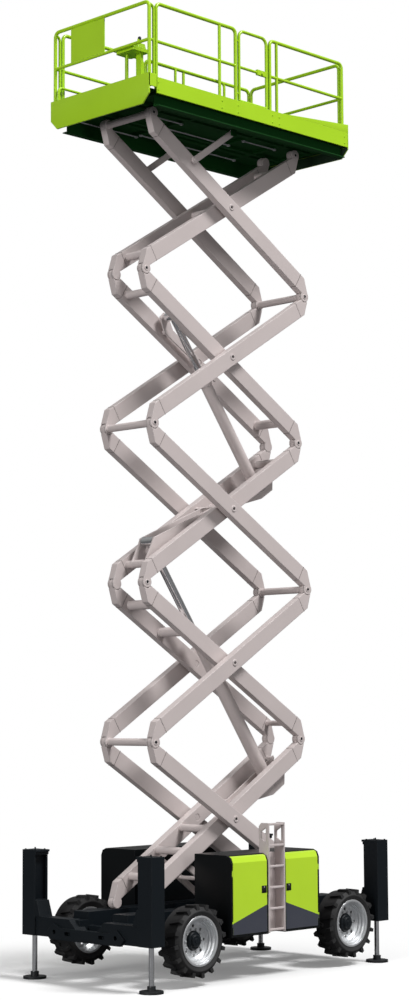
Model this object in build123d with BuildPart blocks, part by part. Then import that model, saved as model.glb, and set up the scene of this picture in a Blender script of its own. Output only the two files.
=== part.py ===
"""Rough-terrain scissor lift: chassis on jacks, five-stage scissor stack, platform."""
import os
from math import asin, cos, pi, radians, sin, sqrt
from build123d import *

os.makedirs("parts", exist_ok=True)

# Scissor stack
ARM_LEN = 3400.0
RAISE = 35.0
STAGES = 5
BASE_Z = 916.0
ARM_D = 200.0
ARM_W = 100.0
ARM_WALL = 12.0
PIN_DROP = 107.0
INNER_Y = 270.0
OUTER_Y = 410.0
LUG_R = 70.0
LUG_GAP = 8.0
SIDE_GAP = 5.0
TONGUE_W = 54.0
PIN_R = 30.0
JOINT_R = 46.0
PIN_FIT = 1.0
HUB_R = 40.0
ROLLER_R = 75.0

# Chassis, axles and wheels
BEAM_Y0 = 215.0
BEAM_Y1 = 475.0
BEAM_BOTTOM = 560.0
BEAM_HALF = 1880.0
AXLE_Z = 540.0
AXLE_R = 70.0
FRONT_X = 1297.0
REAR_X = -1450.0
TYRE_R = 430.0
TYRE_W = 315.0
RIM_R = 285.0
WHEEL_Y = 962.0
KING_Y = 890.0

# Jacks
FOOT_X = 2025.0
FOOT_Y = 1027.0
LEG_X = 210.0
LEG_Y = 230.0
LEG_BOTTOM = 530.0
LEG_TOP = 1560.0
JACK_R = 31.0
PAD_R = 142.5

# Side covers, doors and ladder
COVER_FRONT = 810.0
COVER_REAR = -775.0
COVER_IN = 530.0
COVER_OUT = 1150.0
COVER_BOTTOM = 540.0
COVER_TOP = 1510.0
COVER_WALL = 20.0
COVER_ROUND = 90.0
LADDER_X0 = -135.0
LADDER_X1 = 163.0
LADDER_IN = 1000.0
RUNG_PITCH = 254.0
RUNGS = 6

# Platform
DECK_FRONT = 1760.0
DECK_REAR = -1800.0
DECK_HALF = 900.0
RAIL_R = 23.0
RAIL_TOP = 1236.0
RAIL_MID = 736.0
TOE_H = 200.0
GATE_X = 326.0
LATCH_X = -313.0
PANEL_X = 1900.0

# Derived sizes
TH = radians(RAISE)
TILT = TH - asin(2 * PIN_DROP / ARM_LEN)
HALF = sqrt(ARM_LEN**2 - 4 * PIN_DROP**2) / 2
RISE = ARM_LEN * sin(TH)
PIN_X = ARM_LEN / 2 * cos(TH)
TOP_Z = BASE_Z + STAGES * RISE
SWING_R = LUG_R + LUG_GAP
SLOT_W = TONGUE_W + 2 * SIDE_GAP
TRACK_Z = BASE_Z - ROLLER_R - 0.3
RAIL_Z = TOP_Z + ROLLER_R + 0.3
FLOOR_Z = RAIL_Z + 58


def block(x0, x1, y0, y1, z0, z1, mode=Mode.ADD):
    with Locations(((x0 + x1) / 2, (y0 + y1) / 2, (z0 + z1) / 2)):
        Box(abs(x1 - x0), abs(y1 - y0), abs(z1 - z0), mode=mode)


def bar(start, end, radius, mode=Mode.ADD):
    way = Vector(*end) - Vector(*start)
    with BuildSketch(Plane(origin=start, z_dir=way)) as face:
        Circle(radius)
    extrude(face.sketch, amount=way.length, mode=mode)


def bar_y(x, z, radius, y0, y1, mode=Mode.ADD):
    bar((x, y0, z), (x, y1, z), radius, mode)


def stage_z(stage):
    return BASE_Z + (stage - 0.5) * RISE


def beam_plane(y, stage, way):
    return Plane(
        origin=(0, y, stage_z(stage)),
        x_dir=(way * cos(TILT), 0, sin(TILT)),
        z_dir=(0, -way, 0),
    )


def beam_point(stage, way, u, v):
    x = way * (u * cos(TILT) - v * sin(TILT))
    return x, stage_z(stage) + u * sin(TILT) + v * cos(TILT)


ARM_PROFILE = [
    (-HALF + 135, ARM_D / 2),
    (HALF, ARM_D / 2),
    (HALF + 0.86 * LUG_R, PIN_DROP - LUG_R / 2),
    (HALF - 135, -ARM_D / 2),
    (-HALF, -ARM_D / 2),
    (-HALF - 0.86 * LUG_R, -PIN_DROP + LUG_R / 2),
]


def arm(y, stage, way, top_fork):
    plane = beam_plane(y, stage, way)
    with BuildSketch(plane) as face:
        with BuildLine():
            Polyline(*ARM_PROFILE, close=True)
        make_face()
        with Locations((HALF, PIN_DROP), (-HALF, -PIN_DROP)):
            Circle(LUG_R)
    extrude(face.sketch, amount=ARM_W / 2, both=True)
    with BuildSketch(plane) as face:
        with Locations((-50, 0)):
            Rectangle(2 * HALF - 420, ARM_D - 2 * ARM_WALL)
        with Locations((-HALF + 120, -ARM_D / 4)):
            Rectangle(160, ARM_D / 3)
    extrude(face.sketch, amount=ARM_W / 2 - ARM_WALL, both=True, mode=Mode.SUBTRACT)
    with BuildSketch(plane) as face:
        with Locations((-HALF, -PIN_DROP)):
            Circle(SWING_R)
        if top_fork:
            with Locations((HALF, PIN_DROP)):
                Circle(SWING_R)
    extrude(face.sketch, amount=SLOT_W / 2, both=True, mode=Mode.SUBTRACT)
    if not top_fork:
        for end in (-1, 1):
            with BuildSketch(plane.offset(end * TONGUE_W / 2)) as face:
                with Locations((HALF, PIN_DROP)):
                    Circle(SWING_R)
            extrude(face.sketch, amount=end * (ARM_W - TONGUE_W) / 2, mode=Mode.SUBTRACT)
        with BuildSketch(plane) as face:
            with Locations((HALF, PIN_DROP)):
                Circle(PIN_R + PIN_FIT)
        extrude(face.sketch, amount=ARM_W / 2, both=True, mode=Mode.SUBTRACT)
    with BuildSketch(plane) as face:
        with Locations((-HALF, -PIN_DROP)):
            Circle(PIN_R)
        if top_fork:
            with Locations((HALF, PIN_DROP)):
                Circle(PIN_R)
    extrude(face.sketch, amount=ARM_W / 2, both=True)


def end_rollers(y_mid, x, z):
    for side in (1, -1):
        width = TONGUE_W / 2
        bar_y(x, z, ROLLER_R, side * y_mid - width, side * y_mid + width)


def cross_tubes(stage, way, tubes):
    reach = INNER_Y - ARM_W / 2
    for u, v, radius in tubes:
        x, z = beam_point(stage, way, u, v)
        bar_y(x, z, radius, -reach - 1, reach + 1)


def beam_plate(stage, way, points, y0, y1):
    for side in (1, -1):
        middle = side * (y0 + y1) / 2
        with BuildSketch(beam_plane(middle, stage, way)) as face:
            with BuildLine():
                Polyline(*points, close=True)
            make_face()
        extrude(face.sketch, amount=(y1 - y0) / 2, both=True)


def hub_holes(stage):
    reach = INNER_Y + ARM_W
    bar_y(0, stage_z(stage), HUB_R + PIN_FIT, -reach, reach, Mode.SUBTRACT)


def inner_arms(stage, way):
    for side in (1, -1):
        arm(side * INNER_Y, stage, way, stage == STAGES)


def outer_arms(stage, way):
    z = stage_z(stage)
    for side in (1, -1):
        arm(side * OUTER_Y, stage, way, stage == STAGES)
        bar_y(0, z, HUB_R, side * (INNER_Y - ARM_W / 2 + 4), side * (OUTER_Y + ARM_W / 2 + 8))
        bar_y(0, z, HUB_R * 1.5, side * (INNER_Y + ARM_W / 2 + 6), side * (OUTER_Y - ARM_W / 2 + 2))
        bar_y(0, z, HUB_R / 2, side * (OUTER_Y + ARM_W / 2 - 12), side * (OUTER_Y + ARM_W), Mode.SUBTRACT)
    reach = OUTER_Y - ARM_W / 2 + 2
    low_z = BASE_Z + (stage - 1) * RISE
    bar_y(-way * PIN_X, low_z, JOINT_R, -reach, reach)


# Cylinder pivots in beam coordinates of the frames that carry them
LOW_PIVOT_1 = (HALF - 550, -222.0)
TOP_PIVOT_3 = (-HALF + 570, 164.0)
LOW_PIVOT_3 = (HALF - 732, -170.0)
TOP_PIVOT_4 = (HALF - 897, 107.0)
EAR_W = 20.0
TRUNNION_R = 35.0
EAR_1 = 108.0
EAR_2 = 138.0


def low_bracket(stage, way, pivot, ear_y):
    u, v = pivot
    outline = [
        (u + 372, -40),
        (u + 332, -90),
        (u + 215, v + 10),
        (u + 140, v - 105),
        (u - 110, v - 105),
        (u - 715, -95),
        (u - 700, -45),
    ]
    beam_plate(stage, way, outline, ear_y, ear_y + EAR_W)
    floor = [
        (u + 332, -90),
        (u + 215, v + 10),
        (u + 140, v - 105),
        (u - 110, v - 105),
        (u - 715, -95),
        (u - 703, -83),
        (u - 108, v - 91),
        (u + 132, v - 91),
        (u + 200, v + 12),
        (u + 322, -78),
    ]
    with BuildSketch(beam_plane(0, stage, way)) as face:
        with BuildLine():
            Polyline(*floor, close=True)
        make_face()
    extrude(face.sketch, amount=ear_y + 1, both=True)
    for tube_u in (u + 345, u - 682):
        x, z = beam_point(stage, way, tube_u, -66)
        for side in (1, -1):
            bar_y(x, z, 26, side * (ear_y + 1), side * (INNER_Y - ARM_W / 2 + 1))
    x, z = beam_point(stage, way, u, v)
    bar_y(x, z, TRUNNION_R + PIN_FIT, -ear_y - EAR_W - 1, ear_y + EAR_W + 1, Mode.SUBTRACT)


with BuildPart() as inner_frame_1:
    inner_arms(1, -1)
    cross_tubes(1, -1, [(-HALF + 357, 30, 50), (-0.47 * HALF, 48, 48), (-0.18 * HALF, 48, 48)])
    low_bracket(1, -1, LOW_PIVOT_1, EAR_1)
    end_rollers(INNER_Y, PIN_X, BASE_Z)
    hub_holes(1)
    quarter_x, quarter_z = PIN_X / 2, BASE_Z + RISE / 4
    for side in (1, -1):
        bar_y(quarter_x, quarter_z, 25, side * 174, side * (INNER_Y - ARM_W / 2 + 5))

with BuildPart() as inner_frame_2:
    inner_arms(2, 1)
    cross_tubes(2, 1, [(-HALF + 167, 30, 36), (0.44 * HALF, 0, 60), (HALF - 330, 0, 60)])
    hub_holes(2)

with BuildPart() as inner_frame_3:
    inner_arms(3, -1)
    cross_tubes(3, -1, [(-HALF + 297, 0, 50), (0.02 * HALF, 0, 45), (HALF - 330, 0, 50)])
    low_bracket(3, -1, LOW_PIVOT_3, EAR_1)
    top_u, top_v = TOP_PIVOT_3
    ear_3 = [
        (-HALF + 257, -40),
        (-HALF + 257, 40),
        (top_u - 60, top_v + 30),
        (top_u - 20, top_v + 62),
        (top_u + 40, top_v + 55),
        (0.04 * HALF, 40),
        (0.04 * HALF, -40),
        (top_u + 526, -20),
    ]
    beam_plate(3, -1, ear_3, EAR_1, EAR_1 + EAR_W)
    hub_holes(3)

with BuildPart() as inner_frame_4:
    inner_arms(4, 1)
    cross_tubes(4, 1, [(-HALF + 330, 0, 60), (HALF - 297, 0, 50)])
    top_u, top_v = TOP_PIVOT_4
    ear_4 = [
        (top_u - 1170, -40),
        (top_u - 1170, 40),
        (top_u - 200, 60),
        (top_u - 45, top_v + 50),
        (top_u + 45, top_v + 50),
        (top_u + 70, top_v - 40),
        (top_u - 100, -60),
    ]
    beam_plate(4, 1, ear_4, EAR_2, EAR_2 + EAR_W)
    for u, v in ((top_u - 1050, 0), (top_u - 150, 0)):
        x, z = beam_point(4, 1, u, v)
        for side in (1, -1):
            bar_y(x, z, 40, side * (EAR_2 + 1), side * (INNER_Y - ARM_W / 2 + 1))
    hub_holes(4)

with BuildPart() as inner_frame_5:
    inner_arms(5, -1)
    cross_tubes(5, -1, [(-HALF + 297, 0, 50), (0, 0, 55), (HALF - 297, 0, 50)])
    end_rollers(INNER_Y, -PIN_X, TOP_Z)
    hub_holes(5)

with BuildPart() as outer_frame_1:
    outer_arms(1, 1)
    end_rollers(OUTER_Y, -PIN_X, BASE_Z)

with BuildPart() as outer_frame_2:
    outer_arms(2, -1)

with BuildPart() as outer_frame_3:
    outer_arms(3, 1)

with BuildPart() as outer_frame_4:
    outer_arms(4, -1)

with BuildPart() as outer_frame_5:
    outer_arms(5, 1)
    end_rollers(OUTER_Y, PIN_X, TOP_Z)
    bar_y(PIN_X, TOP_Z, JOINT_R, -OUTER_Y + 48, OUTER_Y - 48)
    for side in (1, -1):
        bar_y(PIN_X / 2, TOP_Z - RISE / 4, 25, side * (OUTER_Y + ARM_W / 2 - 5), side * 502)


def strut(y0, y1, x0, z0, x1, z1):
    way = Vector(x1 - x0, 0, z1 - z0)
    plane = Plane(origin=(x0, (y0 + y1) / 2, z0), x_dir=way, z_dir=(0, 1, 0))
    with BuildSketch(plane) as face:
        with Locations((way.length / 2, 0)):
            Rectangle(way.length, 80)
        with Locations((0, 0), (way.length, 0)):
            Circle(45)
        with Locations((0, 0), (way.length, 0)):
            Circle(25 + PIN_FIT, mode=Mode.SUBTRACT)
    extrude(face.sketch, amount=abs(y1 - y0) / 2, both=True)


with BuildPart() as base_strut:
    for side in (1, -1):
        strut(side * 180, side * 208, 0, BASE_Z, PIN_X / 2, BASE_Z + RISE / 4)
    bar_y(PIN_X / 4, BASE_Z + RISE / 8, 26, -190, 190)

with BuildPart() as top_strut:
    for side in (1, -1):
        strut(side * 468, side * 494, 0, TOP_Z, PIN_X / 2, TOP_Z - RISE / 4)


def cylinder_axis(low_stage, low_way, low, top_stage, top_way, top):
    x0, z0 = beam_point(low_stage, low_way, *low)
    x1, z1 = beam_point(top_stage, top_way, *top)
    return Vector(x0, 0, z0), Vector(x1, 0, z1)


LOW_1, TOP_1 = cylinder_axis(1, -1, LOW_PIVOT_1, 3, -1, TOP_PIVOT_3)
LOW_2, TOP_2 = cylinder_axis(3, -1, LOW_PIVOT_3, 4, 1, TOP_PIVOT_4)
BORE_1, ROD_1, BARREL_1, SHAFT_1 = 85.0, 50.0, 2330.0, 2450.0
BORE_2, ROD_2, BARREL_2, SHAFT_2 = 75.0, 45.0, 1650.0, 1740.0


def barrel(low, top, radius, rod_radius, length):
    way = (top - low).normalized()
    bar(tuple(low + way * 20), tuple(low + way * length), radius)
    bar(tuple(low + way * (length - 70)), tuple(low + way * length), radius + 8)
    bar_y(low.X, low.Z, radius - 5, -EAR_1 + 6, EAR_1 - 6)
    bar_y(low.X, low.Z, TRUNNION_R, -EAR_1 - EAR_W, EAR_1 + EAR_W)
    bar(tuple(low + way * 45), tuple(low + way * (length + 1)), rod_radius + 1, Mode.SUBTRACT)


def piston_rod(low, top, radius, length):
    way = (top - low).normalized()
    bar(tuple(top - way * length), tuple(top - way * 20), radius)
    bar_y(top.X, top.Z, radius + 12, -EAR_1 + 8, EAR_1 - 8)


with BuildPart() as lower_cylinder_barrel:
    barrel(LOW_1, TOP_1, BORE_1, ROD_1, BARREL_1)

with BuildPart() as lower_cylinder_rod:
    piston_rod(LOW_1, TOP_1, ROD_1, SHAFT_1)

with BuildPart() as upper_cylinder_barrel:
    barrel(LOW_2, TOP_2, BORE_2, ROD_2, BARREL_2)

with BuildPart() as upper_cylinder_rod:
    piston_rod(LOW_2, TOP_2, ROD_2, SHAFT_2)

# Chassis: two track beams, cross members and the strut pivots
with BuildPart() as chassis:
    for side in (1, -1):
        block(-BEAM_HALF, BEAM_HALF, side * BEAM_Y0, side * BEAM_Y1, BEAM_BOTTOM, TRACK_Z)
        block(-40, 40, side * 140, side * 172, BEAM_BOTTOM, BASE_Z + 45)
        block(-40, 40, side * 140, side * (BEAM_Y0 + 1), BEAM_BOTTOM, TRACK_Z - 20)
        bar_y(0, BASE_Z, 25, side * 172, side * 206)
        block(-640, 640, side * (BEAM_Y1 - 1), side * (COVER_IN - 0.3), BEAM_BOTTOM, 640)
    for x in (-BEAM_HALF, -700, 700, BEAM_HALF - 90):
        block(x, x + 90, -BEAM_Y0 - 1, BEAM_Y0 + 1, BEAM_BOTTOM, 680)
    block(-640, 640, -BEAM_Y0 - 1, BEAM_Y0 + 1, BEAM_BOTTOM, BEAM_BOTTOM + 20)
    for x in (FRONT_X, REAR_X):
        bar_y(x, AXLE_Z, AXLE_R + 0.3, -BEAM_Y1 - 1, BEAM_Y1 + 1, Mode.SUBTRACT)


BEAM_TOP = LEG_BOTTOM + 230
LEG_IN = FOOT_Y - LEG_Y / 2
LEG_WALL = 16.0
TIE_Y = 540.0
TIE_Z = LEG_BOTTOM + 70
TIE_R = 28.0


def side_shape(x, points, thickness, mode=Mode.ADD):
    with BuildSketch(Plane(origin=(x, 0, 0), x_dir=(0, 1, 0), z_dir=(1, 0, 0))) as face:
        with BuildLine():
            Polyline(*points, close=True)
        make_face()
    extrude(face.sketch, amount=thickness / 2, both=True, mode=mode)


def outrigger(way):
    x = way * FOOT_X
    beam = [(-FOOT_Y, LEG_BOTTOM), (FOOT_Y, LEG_BOTTOM), (FOOT_Y, BEAM_TOP), (-FOOT_Y, BEAM_TOP)]
    side_shape(x, beam, LEG_X - 40)
    notch = [(-310, BEAM_TOP + 1), (310, BEAM_TOP + 1), (170, BEAM_TOP - 130), (-170, BEAM_TOP - 130)]
    side_shape(x, notch, LEG_X, Mode.SUBTRACT)
    yoke_x = x + way * (LEG_X / 2 - 8)
    yoke = [(-620, LEG_BOTTOM - 20), (620, LEG_BOTTOM - 20), (690, LEG_BOTTOM + 60), (560, LEG_BOTTOM + 170),
            (430, LEG_BOTTOM + 120), (-430, LEG_BOTTOM + 120), (-560, LEG_BOTTOM + 170), (-690, LEG_BOTTOM + 60)]
    side_shape(yoke_x, yoke, 44)
    for y in (-300, 300):
        with BuildSketch(Plane(origin=(yoke_x, y, LEG_BOTTOM + 60), x_dir=(0, 1, 0), z_dir=(1, 0, 0))) as face:
            SlotOverall(110, 46)
        extrude(face.sketch, amount=40, both=True, mode=Mode.SUBTRACT)
    for y in (-TIE_Y, TIE_Y):
        bar((x - way * LEG_X, y, TIE_Z), (x + way * LEG_X, y, TIE_Z), TIE_R, Mode.SUBTRACT)
    for side in (1, -1):
        y = side * FOOT_Y
        block(x - LEG_X / 2, x + LEG_X / 2, y - LEG_Y / 2, y + LEG_Y / 2, LEG_BOTTOM, LEG_TOP)
        recess = side * (LEG_IN - 1), side * (FOOT_Y - 55)
        block(x - LEG_X / 2 + LEG_WALL, x + LEG_X / 2 - LEG_WALL, *recess, BEAM_TOP + 200, LEG_TOP - 70, Mode.SUBTRACT)
        gusset = [(side * (LEG_IN + 1), BEAM_TOP - 1), (side * (LEG_IN + 1), BEAM_TOP + 190),
                  (side * (LEG_IN - 30), BEAM_TOP + 190), (side * (LEG_IN - 95), BEAM_TOP - 1)]
        side_shape(x, gusset, LEG_X - 10)
        block(x - LEG_X / 2, x + LEG_X / 2, side * (LEG_IN - 34), side * (FOOT_Y + LEG_Y / 2), LEG_TOP - 26, LEG_TOP)
        block(x - LEG_X / 2, x + LEG_X / 2, side * (LEG_IN - 16), side * (LEG_IN + 1), LEG_TOP - 60, LEG_TOP)
        bar((x, y, LEG_TOP - 1), (x, y, LEG_TOP + 26), 9)
        bar((x, y, LEG_BOTTOM - 1), (x, y, LEG_TOP - 60), JACK_R + PIN_FIT, Mode.SUBTRACT)
    for side in (1, -1):
        near = way * (BEAM_HALF + 0.3)
        block(near, x, side * BEAM_Y0, side * BEAM_Y1, BEAM_BOTTOM + 20, BEAM_TOP - 10)


with BuildPart() as front_outrigger:
    outrigger(1)

with BuildPart() as rear_outrigger:
    outrigger(-1)


def jack(x, y):
    bar((x, y, 0), (x, y, 30), PAD_R)
    bar((x, y, 29), (x, y, 85), 50)
    bar((x, y, 84), (x, y, 1050), JACK_R)


with BuildPart() as jack_front_left:
    jack(FOOT_X, FOOT_Y)

with BuildPart() as jack_front_right:
    jack(FOOT_X, -FOOT_Y)

with BuildPart() as jack_rear_left:
    jack(-FOOT_X, FOOT_Y)

with BuildPart() as jack_rear_right:
    jack(-FOOT_X, -FOOT_Y)

# Axles, knuckles and wheels
SPINDLE_R = 60.0
RIM_HOLES = 8
RIM_HOLE_R = 172.0
HUB_IN = WHEEL_Y - 122
DISC_Y = WHEEL_Y + 8

with BuildPart() as front_axle:
    bar_y(FRONT_X, AXLE_Z, AXLE_R, -760, 760)
    for side in (1, -1):
        block(FRONT_X - 55, FRONT_X + 55, side * 720, side * 775, AXLE_Z - 145, AXLE_Z + 145)
        for up in (1, -1):
            z = AXLE_Z + up * 125
            block(FRONT_X - 50, FRONT_X + 50, side * 770, side * (KING_Y + 32), z - 20, z + 20)
            bar((FRONT_X, side * KING_Y, AXLE_Z + up * 84), (FRONT_X, side * KING_Y, z), 25)

with BuildPart() as rear_axle:
    bar_y(REAR_X, AXLE_Z, AXLE_R, -HUB_IN - 10, HUB_IN + 10)
    for side in (1, -1):
        bar_y(REAR_X, AXLE_Z, 120, side * (HUB_IN - 30), side * (DISC_Y - 1))
        bar_y(REAR_X, AXLE_Z, SPINDLE_R, side * HUB_IN, side * (DISC_Y + 40))


def knuckle(side):
    bar_y(FRONT_X, AXLE_Z, 92, side * (KING_Y - 66), side * (KING_Y + 68))
    bar_y(FRONT_X, AXLE_Z, 120, side * (KING_Y + 64), side * (DISC_Y - 1))
    bar_y(FRONT_X, AXLE_Z, SPINDLE_R, side * KING_Y, side * (DISC_Y + 40))
    king = (FRONT_X, side * KING_Y)
    bar((*king, AXLE_Z - 150), (*king, AXLE_Z + 150), 25 + PIN_FIT, Mode.SUBTRACT)
    bar((*king, AXLE_Z - 80), (*king, AXLE_Z + 80), 40)


with BuildPart() as knuckle_left:
    knuckle(1)

with BuildPart() as knuckle_right:
    knuckle(-1)

LUGS = 16


def tyre(x, side):
    y = side * WHEEL_Y
    half = TYRE_W / 2
    with BuildSketch(Plane(origin=(x, y, AXLE_Z), x_dir=(1, 0, 0), z_dir=(0, 0, 1))) as face:
        with BuildLine():
            Polyline(
                (RIM_R, -half + 22),
                (RIM_R + 60, -half),
                (TYRE_R - 75, -half + 2),
                (TYRE_R - 32, -half + 40),
                (TYRE_R - 28, 0),
                (TYRE_R - 32, half - 40),
                (TYRE_R - 75, half - 2),
                (RIM_R + 60, half),
                (RIM_R, half - 22),
                close=True,
            )
        make_face()
    revolve(face.sketch, axis=Axis((x, y, AXLE_Z), (0, 1, 0)))
    for row in (1, -1):
        for index in range(LUGS):
            angle = 360 / LUGS * (index + (0.5 if row > 0 else 0))
            spin = Plane(origin=(x, y, AXLE_Z), x_dir=(0, 1, 0), z_dir=(1, 0, 0)).rotated((0, angle, 0))
            with BuildSketch(spin.offset(TYRE_R - 60)) as face:
                with BuildLine():
                    Polyline((row * -14, -24), (row * 150, 12), (row * 150, 62), (row * -14, 22), close=True)
                make_face()
            extrude(face.sketch, amount=60, taper=4)


def rim(x, side):
    y = side * WHEEL_Y
    dish = DISC_Y - WHEEL_Y
    with BuildSketch(Plane(origin=(x, y, AXLE_Z), x_dir=(1, 0, 0), z_dir=(0, 0, side))) as face:
        with BuildLine():
            Polyline(
                (RIM_R - 0.3, -135),
                (RIM_R - 0.3, 136),
                (RIM_R + 12, 142),
                (RIM_R + 10, 147),
                (RIM_R - 14, 147),
                (RIM_R - 18, 118),
                (RIM_R - 38, 108),
                (RIM_R - 40, 78),
                (RIM_R - 58, 70),
                (RIM_R - 62, dish + 40),
                (RIM_R - 90, dish + 16),
                (SPINDLE_R + 0.4, dish + 16),
                (SPINDLE_R + 0.4, dish - 0.6),
                (RIM_R - 70, dish - 0.6),
                (RIM_R - 24, dish - 40),
                (RIM_R - 22, -135),
                close=True,
            )
        make_face()
    revolve(face.sketch, axis=Axis((x, y, AXLE_Z), (0, 1, 0)))
    for index in range(RIM_HOLES):
        angle = 2 * pi * index / RIM_HOLES
        hole_x = x + RIM_HOLE_R * cos(angle)
        hole_z = AXLE_Z + RIM_HOLE_R * sin(angle)
        bar_y(hole_x, hole_z, 20, side * (DISC_Y - 30), side * (DISC_Y + 40), Mode.SUBTRACT)


with BuildPart() as tyre_front_left:
    tyre(FRONT_X, 1)

with BuildPart() as tyre_front_right:
    tyre(FRONT_X, -1)

with BuildPart() as tyre_rear_left:
    tyre(REAR_X, 1)

with BuildPart() as tyre_rear_right:
    tyre(REAR_X, -1)

with BuildPart() as rim_front_left:
    rim(FRONT_X, 1)

with BuildPart() as rim_front_right:
    rim(FRONT_X, -1)

with BuildPart() as rim_rear_left:
    rim(REAR_X, 1)

with BuildPart() as rim_rear_right:
    rim(REAR_X, -1)


# Side covers with two doors each, ladder and engine
def cover_outline(side, inset):
    out = side * (COVER_OUT - inset)
    top = COVER_TOP - inset
    return [
        (side * (COVER_IN + inset), COVER_BOTTOM + inset),
        (out, COVER_BOTTOM + inset),
        (out, top - COVER_ROUND),
        (out - side * COVER_ROUND * 0.3, top - COVER_ROUND * 0.3),
        (out - side * COVER_ROUND, top),
        (side * (COVER_IN + inset), top),
    ]


def cover_slice(side, inset, x0, x1, mode=Mode.ADD):
    with BuildSketch(Plane(origin=(x0, 0, 0), x_dir=(0, 1, 0), z_dir=(1, 0, 0))) as face:
        with BuildLine():
            Polyline(*cover_outline(side, inset), close=True)
        make_face()
    extrude(face.sketch, amount=x1 - x0, mode=mode)


DOOR_GAP = 9.0
DOOR_IN = COVER_OUT - 70
HINGE_R = 9.0
HINGES = ((COVER_BOTTOM + 120, COVER_BOTTOM + 190), (COVER_TOP - 250, COVER_TOP - 180))
POST_FRONT = LADDER_X1 + 12
POST_REAR = LADDER_X0 - 12


def cover(side):
    cover_slice(side, 0, COVER_REAR, COVER_FRONT)
    cover_slice(side, COVER_WALL, COVER_REAR + COVER_WALL, COVER_FRONT - COVER_WALL, Mode.SUBTRACT)
    for x0, x1 in ((POST_FRONT, COVER_FRONT - COVER_WALL), (COVER_REAR + COVER_WALL, POST_REAR)):
        block(x0, x1, side * DOOR_IN, side * (COVER_OUT + 1), COVER_BOTTOM + COVER_WALL, COVER_TOP + 1, Mode.SUBTRACT)
    for x in (COVER_FRONT - COVER_WALL, COVER_REAR + COVER_WALL):
        for low, high in HINGES:
            hinge = ((x, side * COVER_OUT, low - 0.4), (x, side * COVER_OUT, high + 0.4))
            bar(*hinge, HINGE_R + 0.4, Mode.SUBTRACT)
    if side > 0:
        low = COVER_BOTTOM - 1
        block(LADDER_X0, LADDER_X1, LADDER_IN - 0.3, COVER_OUT + 1, low, COVER_TOP + 1, Mode.SUBTRACT)


def door(side, x0, x1, hinge_x):
    cover_slice(side, 0, x0 + DOOR_GAP, x1 - DOOR_GAP)
    cover_slice(side, COVER_WALL, x0, x1, Mode.SUBTRACT)
    block(x0, x1, 0, side * (DOOR_IN + DOOR_GAP), 0, COVER_TOP + 1, Mode.SUBTRACT)
    floor = COVER_BOTTOM + COVER_WALL + DOOR_GAP
    block(x0, x1, 0, side * (COVER_OUT + 1), 0, floor, Mode.SUBTRACT)
    inward = -20 if hinge_x > x0 else 20
    for low, high in HINGES:
        bar((hinge_x, side * COVER_OUT, low), (hinge_x, side * COVER_OUT, high), HINGE_R)
        block(hinge_x, hinge_x + inward, side * (COVER_OUT - 8), side * COVER_OUT, low, high)


with BuildPart() as cover_left:
    cover(1)

with BuildPart() as cover_right:
    cover(-1)

FRONT_DOOR = (POST_FRONT, COVER_FRONT - COVER_WALL, COVER_FRONT - COVER_WALL)
REAR_DOOR = (COVER_REAR + COVER_WALL, POST_REAR, COVER_REAR + COVER_WALL)

with BuildPart() as door_front_left:
    door(1, *FRONT_DOOR)

with BuildPart() as door_rear_left:
    door(1, *REAR_DOOR)

with BuildPart() as door_front_right:
    door(-1, *FRONT_DOOR)

with BuildPart() as door_rear_right:
    door(-1, *REAR_DOOR)

with BuildPart() as engine:
    block(-640, -40, -COVER_OUT + 130, -COVER_IN - 60, COVER_BOTTOM + COVER_WALL, 1180)

LADDER_LOW = COVER_BOTTOM + 10
LADDER_TOP = LADDER_LOW + 50 + (RUNGS - 1) * RUNG_PITCH

with BuildPart() as ladder:
    for x in (LADDER_X0 + 10.3, LADDER_X1 - 10.3):
        cheek = [(LADDER_IN, LADDER_LOW), (COVER_OUT + 10, LADDER_LOW), (COVER_OUT + 10, LADDER_TOP),
                 (LADDER_IN + 40, LADDER_TOP), (LADDER_IN, LADDER_TOP - 40)]
        side_shape(x, cheek, 20)
        hole = [(LADDER_IN + 34, LADDER_TOP - 190), (COVER_OUT - 34, LADDER_TOP - 240),
                (COVER_OUT - 34, LADDER_TOP - 55), (LADDER_IN + 34, LADDER_TOP - 105)]
        side_shape(x, hole, 22, Mode.SUBTRACT)
    block(LADDER_X0 + 1, LADDER_X1 - 1, LADDER_IN, LADDER_IN + 8, LADDER_LOW, COVER_TOP)
    for index in range(RUNGS):
        z = LADDER_LOW + 34 + index * RUNG_PITCH
        block(LADDER_X0 + 1, LADDER_X1 - 1, COVER_OUT - 30, COVER_OUT + 8, z - 13, z + 13)

# Platform: deck frame, toe boards, guard rails, gate and sliding extension
CHANNEL_LOW = TOP_Z - 70

with BuildPart() as platform_deck:
    block(DECK_REAR + 10, DECK_FRONT, -DECK_HALF + 20.3, DECK_HALF - 20.3, FLOOR_Z - 15, FLOOR_Z)
    for side in (1, -1):
        block(DECK_REAR + 40, DECK_FRONT - 40, side * (INNER_Y - 34), side * (INNER_Y + 34), RAIL_Z, FLOOR_Z)
        block(DECK_REAR + 40, DECK_FRONT - 40, side * (OUTER_Y - 34), side * (OUTER_Y + 34), RAIL_Z, FLOOR_Z)
        edge = DECK_HALF - 20.3
        block(DECK_REAR + 40, DECK_FRONT - 40, side * (edge - 90), side * (edge - 78), CHANNEL_LOW, FLOOR_Z)
        block(DECK_REAR + 40, DECK_FRONT - 40, side * (edge - 90), side * edge, CHANNEL_LOW, CHANNEL_LOW + 12)
        block(-45, 45, side * 498, side * 516, TOP_Z - 45, FLOOR_Z)
        bar_y(0, TOP_Z, 25, side * 466, side * 500)
    for x in (DECK_REAR + 40, -1200, -600, 560, 1160, DECK_FRONT - 100):
        block(x, x + 60, -DECK_HALF + 21, DECK_HALF - 21, RAIL_Z + 4, FLOOR_Z)

TOE_LOW = FLOOR_Z - 60

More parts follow.
